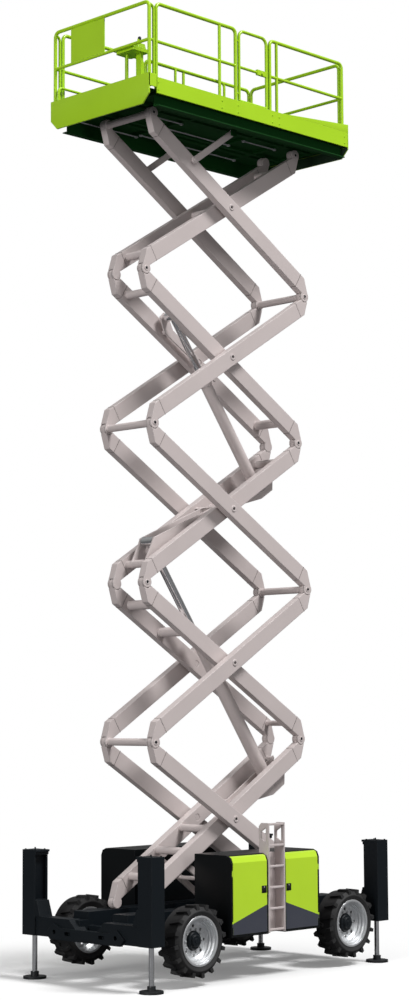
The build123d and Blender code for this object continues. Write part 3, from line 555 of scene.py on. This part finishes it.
def jack_finish():
    material = HARD_CHROME.copy()
    material.name = "jack_chrome"
    tree = material.node_tree
    shader = tree.nodes["Principled BSDF"]
    place = tree.nodes.new("ShaderNodeTexCoord")
    axes = tree.nodes.new("ShaderNodeSeparateXYZ")
    tree.links.new(place.outputs["Object"], axes.inputs[0])
    rod = math_node(tree, "GREATER_THAN", axes.outputs["Z"], FOOT_TOP)
    bright = shader.inputs["Base Color"].links[0].from_socket
    tree.links.new(mix_colour(tree, rod, tone(24, 26, 29), bright), shader.inputs["Base Color"])
    tree.links.new(rod, shader.inputs["Metallic"])
    smooth = shader.inputs["Roughness"].links[0].from_socket
    dull = math_node(tree, "SUBTRACT", 1.0, rod)
    dull = math_node(tree, "MULTIPLY", dull, 0.35)
    tree.links.new(math_node(tree, "ADD", smooth, dull), shader.inputs["Roughness"])
    return material


JACK_CHROME = jack_finish()
for corner in WHEELS:
    for slot in nodes["jack_" + corner].material_slots:
        slot.material = JACK_CHROME
print("jacks", len(WHEELS))

# %% [markdown]
# Turned pieces
# Hub caps, pin caps and knobs are lathe work. A short function turns a profile of radius and depth
# about an axis, merges the poles and leaves a closed mesh with its faces outwards.

# %% Lathe helper
def link_piece(name, mesh, material, body):
    piece = bpy.data.objects.new(name, mesh)
    bpy.context.scene.collection.objects.link(piece)
    mesh.materials.clear()
    mesh.materials.append(material)
    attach(piece, body)
    return piece


def turned(bm, profile, centre, axis, steps=32):
    axis = Vector(axis).normalized()
    side = axis.orthogonal().normalized()
    up = axis.cross(side)
    rings = []
    for radius, depth in profile:
        middle = Vector(centre) + axis * depth
        if radius == 0:
            rings.append([bm.verts.new(middle)])
            continue
        turn = [2 * math.pi * i / steps for i in range(steps)]
        rings.append([bm.verts.new(middle + radius * (math.cos(a) * side + math.sin(a) * up)) for a in turn])
    for first, second in zip(rings, rings[1:]):
        for i in range(steps):
            corners = [first[i % len(first)], first[(i + 1) % len(first)],
                       second[(i + 1) % len(second)], second[i % len(second)]]
            unique = list(dict.fromkeys(corners))
            if len(unique) > 2:
                bm.faces.new(unique)


def finished(bm, name):
    bmesh.ops.remove_doubles(bm, verts=bm.verts, dist=0.00005)
    bmesh.ops.recalc_face_normals(bm, faces=bm.faces)
    mesh = bpy.data.meshes.new(name)
    bm.to_mesh(mesh)
    bm.free()
    mesh.shade_smooth()
    mesh.set_sharp_from_angle(angle=math.radians(35))
    return mesh


# %% [markdown]
# Hubs and wheel nuts
# Each wheel has a black planetary hub in the dish, held by a ring of nuts. The hub is turned, and the
# nuts are a Geometry Nodes ring: points on a circle, a hexagon on each, then real mesh.

# %% Hubs
WHEEL_X = {"front_left": 1.297, "front_right": 1.297, "rear_left": -1.450, "rear_right": -1.450}
WHEEL_Y, AXLE_Z, DISC_OUT = 0.962, 0.540, 0.024
HUB = [(0, 0.088), (0.028, 0.088), (0.030, 0.083), (0.062, 0.083), (0.070, 0.076), (0.072, 0.062),
       (0.096, 0.058), (0.104, 0.050), (0.106, 0.026), (0.118, 0.0245), (0.118, 0.0235), (0, 0.0235)]

for corner in WHEELS:
    way = 1 if "left" in corner else -1
    bm = bmesh.new()
    turned(bm, HUB, (WHEEL_X[corner], way * WHEEL_Y, AXLE_Z), (0, way, 0), 48)
    label = "hub_" + corner
    link_piece(label, finished(bm, label), FRAME_BLACK, "wheel_" + corner)
print("hubs", len(WHEELS))

# %% Ring of nuts
def nodes_tree(name, inputs):
    tree = bpy.data.node_groups.new(name, "GeometryNodeTree")
    tree.interface.new_socket("Geometry", in_out="INPUT", socket_type="NodeSocketGeometry")
    for label, kind, value in inputs:
        socket = tree.interface.new_socket(label, in_out="INPUT", socket_type=kind)
        if value is not None:
            socket.default_value = value
    tree.interface.new_socket("Geometry", in_out="OUTPUT", socket_type="NodeSocketGeometry")
    return tree, tree.nodes.new("NodeGroupInput"), tree.nodes.new("NodeGroupOutput")


def close_tree(tree, took, gave, shape):
    real = tree.nodes.new("GeometryNodeRealizeInstances")
    dress = tree.nodes.new("GeometryNodeSetMaterial")
    tree.links.new(shape, real.inputs[0])
    tree.links.new(real.outputs[0], dress.inputs["Geometry"])
    tree.links.new(took.outputs["Material"], dress.inputs["Material"])
    tree.links.new(dress.outputs[0], gave.inputs[0])


def nut_ring_tree():
    tree, took, gave = nodes_tree("nut_ring", [
        ("Count", "NodeSocketInt", 8), ("Ring", "NodeSocketFloat", 0.1), ("Nut", "NodeSocketFloat", 0.012),
        ("Height", "NodeSocketFloat", 0.012), ("Centre", "NodeSocketVector", (0, 0, 0)),
        ("Turn", "NodeSocketVector", (0, 0, 0)), ("Material", "NodeSocketMaterial", None)])
    ring = tree.nodes.new("GeometryNodeMeshCircle")
    nut = tree.nodes.new("GeometryNodeMeshCylinder")
    nut.inputs["Vertices"].default_value = 6
    washer = tree.nodes.new("GeometryNodeMeshCylinder")
    washer.inputs["Vertices"].default_value = 14
    washer.inputs["Depth"].default_value = 0.004
    wide = tree.nodes.new("ShaderNodeMath")
    wide.operation = "MULTIPLY"
    wide.inputs[1].default_value = 1.35
    both = tree.nodes.new("GeometryNodeJoinGeometry")
    spread = tree.nodes.new("GeometryNodeInstanceOnPoints")
    place = tree.nodes.new("GeometryNodeTransform")
    for source, target in (
        (took.outputs["Count"], ring.inputs["Vertices"]), (took.outputs["Ring"], ring.inputs["Radius"]),
        (took.outputs["Nut"], nut.inputs["Radius"]), (took.outputs["Height"], nut.inputs["Depth"]),
        (took.outputs["Nut"], wide.inputs[0]), (wide.outputs[0], washer.inputs["Radius"]),
        (nut.outputs["Mesh"], both.inputs[0]), (washer.outputs["Mesh"], both.inputs[0]),
        (ring.outputs["Mesh"], spread.inputs["Points"]), (both.outputs[0], spread.inputs["Instance"]),
        (spread.outputs[0], place.inputs["Geometry"]),
        (took.outputs["Centre"], place.inputs["Translation"]),
        (took.outputs["Turn"], place.inputs["Rotation"]),
    ):
        tree.links.new(source, target)
    close_tree(tree, took, gave, place.outputs[0])
    return tree


def grown(name, tree, body, slot, seed_mesh=None, **values):
    """Runs a Geometry Nodes tree once and keeps the result as a plain mesh on a body."""
    holder = bpy.data.objects.new(name + "_seed", seed_mesh or bpy.data.meshes.new(name + "_seed"))
    bpy.context.scene.collection.objects.link(holder)
    modifier = holder.modifiers.new(name, "NODES")
    modifier.node_group = tree
    for item in tree.interface.items_tree:
        if item.in_out == "INPUT" and item.name in values:
            modifier[item.identifier] = values[item.name]
    deps = bpy.context.evaluated_depsgraph_get()
    mesh = bpy.data.meshes.new_from_object(holder.evaluated_get(deps), depsgraph=deps)
    mesh.name = name
    bpy.data.objects.remove(holder)
    return link_piece(name, mesh, values["Material"], body)


NUT_RING = nut_ring_tree()
SIDEWAYS = (math.pi / 2, 0, 0)
NUT_SEAT, BOLT_SEAT = DISC_OUT + 0.006, 0.0585
WHEEL_NUT = {"Count": 10, "Ring": 0.136, "Nut": 0.0125, "Height": 0.018}
HUB_BOLT = {"Count": 9, "Ring": 0.086, "Nut": 0.007, "Height": 0.012}
ZINC = paint("zinc_plate", tone(176, 178, 180), tone(120, 120, 122), 0.35, wear_and_highlight_amount=0.5, dust=0.1, dust_top=0.6)
for corner in WHEELS:
    way = 1 if "left" in corner else -1
    spot = (WHEEL_X[corner], way * (WHEEL_Y + NUT_SEAT), AXLE_Z)
    grown("wheel_nuts_" + corner, NUT_RING, "wheel_" + corner, "silver_rim",
          Centre=spot, Turn=SIDEWAYS, Material=ZINC, **WHEEL_NUT)
    spot = (WHEEL_X[corner], way * (WHEEL_Y + BOLT_SEAT), AXLE_Z)
    grown("hub_bolts_" + corner, NUT_RING, "wheel_" + corner, "black_paint",
          Centre=spot, Turn=SIDEWAYS, Material=FRAME_BLACK, **HUB_BOLT)
print("wheel nuts", len(WHEELS))

# %% [markdown]
# Pin caps
# Every pivot pin of the scissor stack ends in a cap plate on the outer face of its arm. The caps
# repeat at fixed pivots, so the pivots are worked out from the arm length and the raise angle.

# %% Pivot places
ARM_LEN, RAISE, BASE_Z, PIN_DROP = 3.4, math.radians(35), 0.916, 0.107
RISE = ARM_LEN * math.sin(RAISE)
PIN_X = ARM_LEN / 2 * math.cos(RAISE)
STAGES = 5
OUTER_FACE, INNER_FACE = 0.46, 0.32
PLUG_OUT, CENTRE_IN, GREASE_IN = 0.003, 0.008, 0.006
CAP = [(0.019, -0.001), (0.019, 0.006), (0.030, 0.006), (0.034, 0.003), (0.034, -0.001), (0.019, -0.001)]
PLUG = [(0, 0.002), (0.014, 0.002), (0.0175, 0.0), (0.0195, -0.004), (0, -0.004)]
GREASE = [(0, 0.012), (0.003, 0.012), (0.004, 0.009), (0.004, 0.004), (0.006, 0.003), (0.006, 0), (0, 0)]
STACK = [(f"{kind}_frame_{k}", kind, k) for k in range(1, STAGES + 1) for kind in ("inner", "outer")]


def stage_way(kind, k):
    odd = 1 if k % 2 else -1
    return odd if kind == "outer" else -odd


for body, kind, k in STACK:
    way = stage_way(kind, k)
    face = OUTER_FACE if kind == "outer" else INNER_FACE
    low_z = BASE_Z + (k - 1) * RISE
    mid_z = low_z + RISE / 2
    rings, plugs = bmesh.new(), bmesh.new()
    for side in (1, -1):
        ends = [(-way * PIN_X, low_z)]
        if k == STAGES:
            ends.append((way * PIN_X, low_z + RISE))
        for x, z in ends:
            turned(rings, CAP, (x, side * face, z), (0, side, 0))
            turned(plugs, PLUG, (x, side * (face + PLUG_OUT), z), (0, side, 0))
        if kind == "outer":
            turned(plugs, PLUG, (0, side * (face - CENTRE_IN), mid_z), (0, side, 0))
            turned(plugs, GREASE, (0, side * (face - GREASE_IN), mid_z), (0, side, 0), 12)
    label = f"pin_rings_{kind}_{k}"
    link_piece(label, finished(rings, label), ARM_GREY, body)
    label = f"pin_plugs_{kind}_{k}"
    link_piece(label, finished(plugs, label), FRAME_BLACK, body)
print("pin rings and plugs", len(STACK))

# %% [markdown]
# Weld beads
# The forged ends are welded to the box arms, and the bead shows as a fine ripple across the arm. Each
# bead is a closed loop of edges; Geometry Nodes sets small drops along it at an even step.

# %% Weld beads
def bead_tree():
    tree, took, gave = nodes_tree("weld_bead", [
        ("Step", "NodeSocketFloat", 0.009), ("Drop", "NodeSocketFloat", 0.005), ("Seed", "NodeSocketInt", 4),
        ("Material", "NodeSocketMaterial", None)])
    curve = tree.nodes.new("GeometryNodeMeshToCurve")
    even = tree.nodes.new("GeometryNodeResampleCurve")
    even.mode = "LENGTH"
    drop = tree.nodes.new("GeometryNodeMeshIcoSphere")
    drop.inputs["Subdivisions"].default_value = 1
    vary = tree.nodes.new("FunctionNodeRandomValue")
    vary.inputs[2].default_value = 0.8
    vary.inputs[3].default_value = 1.15
    spread = tree.nodes.new("GeometryNodeInstanceOnPoints")
    for source, target in (
        (took.outputs["Geometry"], curve.inputs[0]), (curve.outputs[0], even.inputs["Curve"]),
        (took.outputs["Step"], even.inputs["Length"]), (took.outputs["Drop"], drop.inputs["Radius"]),
        (took.outputs["Seed"], vary.inputs["Seed"]), (even.outputs[0], spread.inputs["Points"]),
        (drop.outputs["Mesh"], spread.inputs["Instance"]), (vary.outputs[1], spread.inputs["Scale"]),
    ):
        tree.links.new(source, target)
    close_tree(tree, took, gave, spread.outputs[0])
    return tree


WELD_BEAD = bead_tree()
TILT = RAISE - math.asin(2 * PIN_DROP / ARM_LEN)
HALF = math.sqrt(ARM_LEN ** 2 - 4 * PIN_DROP ** 2) / 2
ARM_PLANE = {"outer": 0.41, "inner": 0.27}
WELD_IN, BEAD_Y, BEAD_V = 0.215, 0.05, 0.1
LOOP = ((BEAD_Y, BEAD_V), (-BEAD_Y, BEAD_V), (-BEAD_Y, -BEAD_V), (BEAD_Y, -BEAD_V))
WELD_GREY = paint("weld_grey", tone(120, 112, 109), tone(150, 142, 139), 0.4,
                  wear_and_highlight_amount=0.3, dust=0.05, dust_top=4.0)
for body, kind, k in STACK:
    way = stage_way(kind, k)
    along = Vector((way * math.cos(TILT), 0, math.sin(TILT)))
    across = Vector((-way * math.sin(TILT), 0, math.cos(TILT)))
    middle = Vector((0, 0, BASE_Z + (k - 0.5) * RISE))
    points, edges = [], []
    for side in (1, -1):
        y = side * ARM_PLANE[kind]
        for end in (1, -1):
            spot = middle + along * end * (HALF - WELD_IN)
            first = len(points)
            for dy, dv in LOOP:
                points.append(spot + across * dv + Vector((0, y + dy, 0)))
            edges += [(first + i, first + (i + 1) % len(LOOP)) for i in range(len(LOOP))]
    seed = bpy.data.meshes.new("bead_path")
    seed.from_pydata(points, edges, [])
    grown(f"weld_beads_{kind}_{k}", WELD_BEAD, body, "grey_paint", seed,
          Step=0.010, Drop=0.0048, Seed=k, Material=WELD_GREY)
print("weld beads", len(STACK))

# %% [markdown]
# Sheet skirts of the platform
# Folded sheets finish the platform's ends: a deep front sheet with cut corners on the extension, a like
# one at the back, and side sheets that rise towards the back. Each is an outline given a thickness.

# %% Sheet skirts
def sheet_metal(name, outline, axis, start, stop, body):
    """A flat sheet: outline points in the other two axes, thickness from start to stop along axis."""
    bm = bmesh.new()
    rings = []
    for level in (start, stop):
        ring = []
        for u, v in outline:
            ring.append(bm.verts.new((level, u, v) if axis == "x" else (u, level, v)))
        rings.append(ring)
    count = len(outline)
    bm.faces.new(rings[0])
    bm.faces.new(rings[1][::-1])
    for i in range(count):
        bm.faces.new((rings[0][i], rings[1][i], rings[1][(i + 1) % count], rings[0][(i + 1) % count]))
    bmesh.ops.recalc_face_normals(bm, faces=bm.faces)
    bmesh.ops.bevel(bm, geom=list(bm.edges), offset=0.0015, segments=2, affect="EDGES", profile=0.6)
    return link_piece(name, finished(bm, name), END_PAINT, body)


toe_low, toe_high = (Vector(corner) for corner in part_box("toe_boards"))
deck_box = [Vector(corner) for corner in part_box("platform_deck")]
panel_box = [Vector(corner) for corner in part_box("extension_panel")]
HALF_WIDE = toe_high.y
SKIRT_LOW = deck_box[0].z + 0.003
CUT = 0.115
RISE_BACK = 0.11
RISE_FROM = -0.463
FRONT_IN, FRONT_OUT, FRONT_OVER = 0.018, 0.003, 0.001
REAR_OUT, REAR_IN = 0.012, 0.004
SIDE_SHEET, SIDE_SINK = 0.0195, 0.002


def end_outline(top):
    return [(-HALF_WIDE, top), (HALF_WIDE, top), (HALF_WIDE, SKIRT_LOW + CUT), (HALF_WIDE - CUT, SKIRT_LOW),
            (-HALF_WIDE + CUT, SKIRT_LOW), (-HALF_WIDE, SKIRT_LOW + CUT)]


front_x, front_top = panel_box[1].x, panel_box[1].z
rear_top, side_low = toe_high.z + RISE_BACK, toe_high.z - SIDE_SINK
sheet_metal("front_skirt", end_outline(front_top + FRONT_OVER), "x",
            front_x - FRONT_IN, front_x + FRONT_OUT, "extension")
sheet_metal("rear_skirt", end_outline(rear_top), "x", toe_low.x - REAR_OUT, toe_low.x + REAR_IN, "platform")
rising = [(RISE_FROM, side_low), (toe_low.x, side_low), (toe_low.x, rear_top)]
for name, side in (("rising_skirt_left", 1), ("rising_skirt_right", -1)):
    sheet_metal(name, rising, "y", side * (HALF_WIDE - SIDE_SHEET), side * HALF_WIDE, "platform")
print("skirts 4")

# %% [markdown]
# Conduits under the deck
# Zinc tubes for the platform's wiring run below the cross ribs, and a clamp block holds each one where it
# passes a rib. A tube is a turned bar and a clamp is a bevelled slab around it, seated on the rib, and both
# repeat along a short list of runs.

# %% Conduits
def slab(bm, centre, size, bevel):
    place = Matrix.Translation(centre) @ Matrix.Diagonal((*size, 1))
    made = bmesh.ops.create_cube(bm, size=1, matrix=place)
    edges = {edge for vert in made["verts"] for edge in vert.link_edges}
    bmesh.ops.bevel(bm, geom=list(edges), offset=bevel, segments=2, affect="EDGES", profile=0.6)


CONDUIT_R = 0.009
RIB_RISE = 0.1495
RIB_LOW = deck_box[0].z + RIB_RISE
CLAMP_X, CLAMP_Y, CLAMP_LIP, CLAMP_EDGE = 0.030, 0.036, 0.006, 0.001
CLAMP = (CLAMP_X, CLAMP_Y, 2 * CONDUIT_R + CLAMP_LIP)
RUNS = ((0.70, -1.20, -0.54), (0.70, 0.56, 1.22), (0.61, -0.60, 0.62), (-0.61, -1.20, 0.62),
        (-0.70, 0.56, 1.70), (0.14, -1.20, -0.54), (0.14, 0.56, 1.22), (-0.14, -0.60, 0.62))
RIBS = (-1.730, -1.170, -0.570, 0.590, 1.190, 1.690)
tubes, clamps = bmesh.new(), bmesh.new()
for y, start, stop in RUNS:
    rod = [(0, 0), (CONDUIT_R, 0), (CONDUIT_R, stop - start), (0, stop - start)]
    turned(tubes, rod, (start, y, RIB_LOW - CONDUIT_R), (1, 0, 0), 16)
    for x in RIBS:
        if start < x < stop:
            slab(clamps, (x, y, RIB_LOW - CLAMP[2] / 2), CLAMP, CLAMP_EDGE)
link_piece("conduits", finished(tubes, "conduits"), ZINC, "platform")
link_piece("conduit_clamps", finished(clamps, "conduit_clamps"), ZINC, "platform")
print("conduits", len(RUNS))

# %% [markdown]
# Door latches
# Each door has a square black paddle latch beside the ladder post. It is a bevelled bezel with a paddle
# and a round lock, made from small slabs so that the edges catch the light.

# %% Door latches
DOOR_FACE = 1.150
LATCH = 0.086
LATCH_Z = 1.080
FRONT_LATCH_X, REAR_LATCH_X = 0.236, -0.208
LATCHES = {"door_front_left": FRONT_LATCH_X, "door_rear_left": REAR_LATCH_X,
           "door_front_right": FRONT_LATCH_X, "door_rear_right": REAR_LATCH_X}
PLATE, LATCH_EDGE = 0.008, 0.003
BEZEL_OUT, PADDLE_OUT, PADDLE_DROP = 0.001, 0.006, 0.008
PADDLE = (LATCH - 0.026, PLATE, LATCH - 0.042)
LOCK_OUT, LOCK_RISE = 0.005, 0.026
LOCK = [(0, 0.004), (0.006, 0.004), (0.008, 0.002), (0.008, 0), (0, 0)]
for body, x in LATCHES.items():
    side = 1 if body.endswith("left") else -1
    bm = bmesh.new()
    slab(bm, (x, side * (DOOR_FACE + BEZEL_OUT), LATCH_Z), (LATCH, PLATE, LATCH), LATCH_EDGE)
    slab(bm, (x, side * (DOOR_FACE + PADDLE_OUT), LATCH_Z - PADDLE_DROP), PADDLE, LATCH_EDGE)
    label = body.replace("door", "latch")
    link_piece(label, finished(bm, label), LATCH_BLACK, body)
    bm = bmesh.new()
    turned(bm, LOCK, (x, side * (DOOR_FACE + LOCK_OUT), LATCH_Z + LOCK_RISE), (0, side, 0), 20)
    label = body.replace("door", "lock")
    link_piece(label, finished(bm, label), ZINC, body)
print("latches", len(LATCHES))

# %% [markdown]
# Louvres
# The engine sits behind the right-hand doors, so the rear one has a bank of pressed louvres. One slat is
# set along a line by Geometry Nodes, tipped so that its open edge points down.

# %% Louvres
def louvre_tree():
    tree, took, gave = nodes_tree("louvre_bank", [
        ("Count", "NodeSocketInt", 8), ("Pitch", "NodeSocketFloat", 0.04),
        ("Slat", "NodeSocketVector", (0.3, 0.01, 0.03)), ("Tip", "NodeSocketFloat", 0.4),
        ("Centre", "NodeSocketVector", (0, 0, 0)), ("Material", "NodeSocketMaterial", None)])
    line = tree.nodes.new("GeometryNodeMeshLine")
    step = tree.nodes.new("ShaderNodeCombineXYZ")
    slat = tree.nodes.new("GeometryNodeMeshCube")
    lean = tree.nodes.new("ShaderNodeCombineXYZ")
    spread = tree.nodes.new("GeometryNodeInstanceOnPoints")
    place = tree.nodes.new("GeometryNodeTransform")
    for source, target in (
        (took.outputs["Count"], line.inputs["Count"]), (took.outputs["Pitch"], step.inputs["Z"]),
        (step.outputs[0], line.inputs["Offset"]), (took.outputs["Slat"], slat.inputs["Size"]),
        (took.outputs["Tip"], lean.inputs["X"]), (line.outputs["Mesh"], spread.inputs["Points"]),
        (slat.outputs["Mesh"], spread.inputs["Instance"]), (lean.outputs[0], spread.inputs["Rotation"]),
        (spread.outputs[0], place.inputs["Geometry"]), (took.outputs["Centre"], place.inputs["Translation"]),
    ):
        tree.links.new(source, target)
    close_tree(tree, took, gave, place.outputs[0])
    return tree


LOUVRES = louvre_tree()
LOUVRE_OUT, LOUVRE_Z = 0.002, 1.14
for name, x in (("louvres_upper", -0.57), ("louvres_lower", -0.37)):
    spot = (x, -DOOR_FACE - LOUVRE_OUT, LOUVRE_Z)
    grown(name, LOUVRES, "door_rear_right", "lime_paint", Count=9, Pitch=0.034,
          Slat=(0.17, 0.008, 0.03), Tip=-0.45, Centre=spot, Material=DOOR_PAINT)
print("louvre banks 2")

# %% [markdown]
# Bolts
# Hexagon bolts hold the jack heads and the rail posts. A tree sets one bolt head on every vertex of a
# seed mesh, turned by one rotation, so each group is a list of places worked out from the frame.

# %% Bolts
def bolt_tree():
    tree, took, gave = nodes_tree("bolt_heads", [
        ("Nut", "NodeSocketFloat", 0.012), ("Height", "NodeSocketFloat", 0.012),
        ("Turn", "NodeSocketVector", (0, 0, 0)), ("Material", "NodeSocketMaterial", None)])
    head = tree.nodes.new("GeometryNodeMeshCylinder")
    head.inputs["Vertices"].default_value = 6
    spread = tree.nodes.new("GeometryNodeInstanceOnPoints")
    for source, target in (
        (took.outputs["Nut"], head.inputs["Radius"]), (took.outputs["Height"], head.inputs["Depth"]),
        (took.outputs["Geometry"], spread.inputs["Points"]),
        (head.outputs["Mesh"], spread.inputs["Instance"]), (took.outputs["Turn"], spread.inputs["Rotation"]),
    ):
        tree.links.new(source, target)
    close_tree(tree, took, gave, spread.outputs[0])
    return tree


def dots(points):
    mesh = bpy.data.meshes.new("bolt_places")
    mesh.from_pydata(points, [], [])
    return mesh


BOLTS = bolt_tree()
FLAT = (0, 0, 0)
FOOT_X, FOOT_Y, LEG_TOP = 2.025, 1.027, 1.560
HEAD_DX, HEAD_DY, HEAD_RISE = 0.078, 0.088, 0.004
heads = [(sx * FOOT_X + dx, sy * FOOT_Y + dy, LEG_TOP + HEAD_RISE)
         for sx in (1, -1) for sy in (1, -1) for dx in (-HEAD_DX, HEAD_DX) for dy in (-HEAD_DY, HEAD_DY)]
grown("jack_head_bolts", BOLTS, "chassis", "black_paint", dots(heads),
      Nut=0.011, Height=0.012, Turn=FLAT, Material=FRAME_BLACK)

POSTS = (1.735, 0.619, 0.326, -0.313, -0.444, -1.736)
POST_OUT, POST_RISES = 0.002, (0.048, 0.138)
feet = [(x, side * (toe_high.y + POST_OUT), toe_low.z + rise)
        for x in POSTS for side in (1, -1) for rise in POST_RISES]
grown("post_bolts", BOLTS, "platform", "lime_paint", dots(feet),
      Nut=0.010, Height=0.011, Turn=SIDEWAYS, Material=LIME_PAINT)
print("bolts", len(heads) + len(feet))

# %% [markdown]
# Control stand
# The driver's box has a joystick with a rubber boot, a red stop button and a row of small switches. All
# are turned pieces set on the sloping top of the box.

# %% Control stand
STOP_RED = paint("stop_red", tone(186, 24, 22), tone(214, 90, 84), 0.3, wear_and_highlight_amount=0.2, dust=0.0)
box_low, box_high = (Vector(corner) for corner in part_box("control_box"))
STICK_DX, STICK_DY = 0.078, 0.225
POST_H, BOX_SINK, BOX_H = 0.555, 0.012, 0.115
SEAT = 0.001
STICK_LEAN = (-0.15, 0, 1)
GRIP_BACK, GRIP_RISE = 0.010, 0.040
SWITCH_BACK, SWITCH_PITCH, SWITCH_SIDE = 0.030, 0.022, 0.060
STOP_AHEAD, STOP_SIDE = 0.030, 0.052
stick_x, stick_y = box_low.x + STICK_DX, box_low.y + STICK_DY
panel_top = box_low.z + POST_H - BOX_SINK + BOX_H
BOOT = [(0, 0.045), (0.015, 0.045), (0.017, 0.032), (0.027, 0.026), (0.024, 0.019),
        (0.036, 0.012), (0.033, 0.006), (0.042, 0), (0, 0)]
GRIP = [(0, 0.072), (0.014, 0.070), (0.022, 0.058), (0.022, 0.020), (0.016, 0.006), (0.016, 0), (0, 0)]
STOP = [(0, 0.034), (0.012, 0.033), (0.021, 0.028), (0.023, 0.022), (0.021, 0.018),
        (0.010, 0.016), (0.010, 0), (0, 0)]
SWITCH = [(0, 0.024), (0.003, 0.023), (0.002, 0.006), (0.007, 0.005), (0.007, 0), (0, 0)]
bm = bmesh.new()
turned(bm, BOOT, (stick_x, stick_y, panel_top - SEAT), STICK_LEAN, 28)
turned(bm, GRIP, (stick_x - GRIP_BACK, stick_y, panel_top + GRIP_RISE), STICK_LEAN, 24)
for row in range(4):
    spot = (stick_x - SWITCH_BACK + row * SWITCH_PITCH, stick_y - SWITCH_SIDE, panel_top - SEAT)
    turned(bm, SWITCH, spot, (0, 0, 1), 12)
link_piece("joystick", finished(bm, "joystick"), FRAME_BLACK, "extension")
bm = bmesh.new()
turned(bm, STOP, (stick_x + STOP_AHEAD, stick_y + STOP_SIDE, panel_top - SEAT), (0, 0, 1), 28)
link_piece("stop_button", finished(bm, "stop_button"), STOP_RED, "extension")
print("control stand", [round(v, 3) for v in box_high])
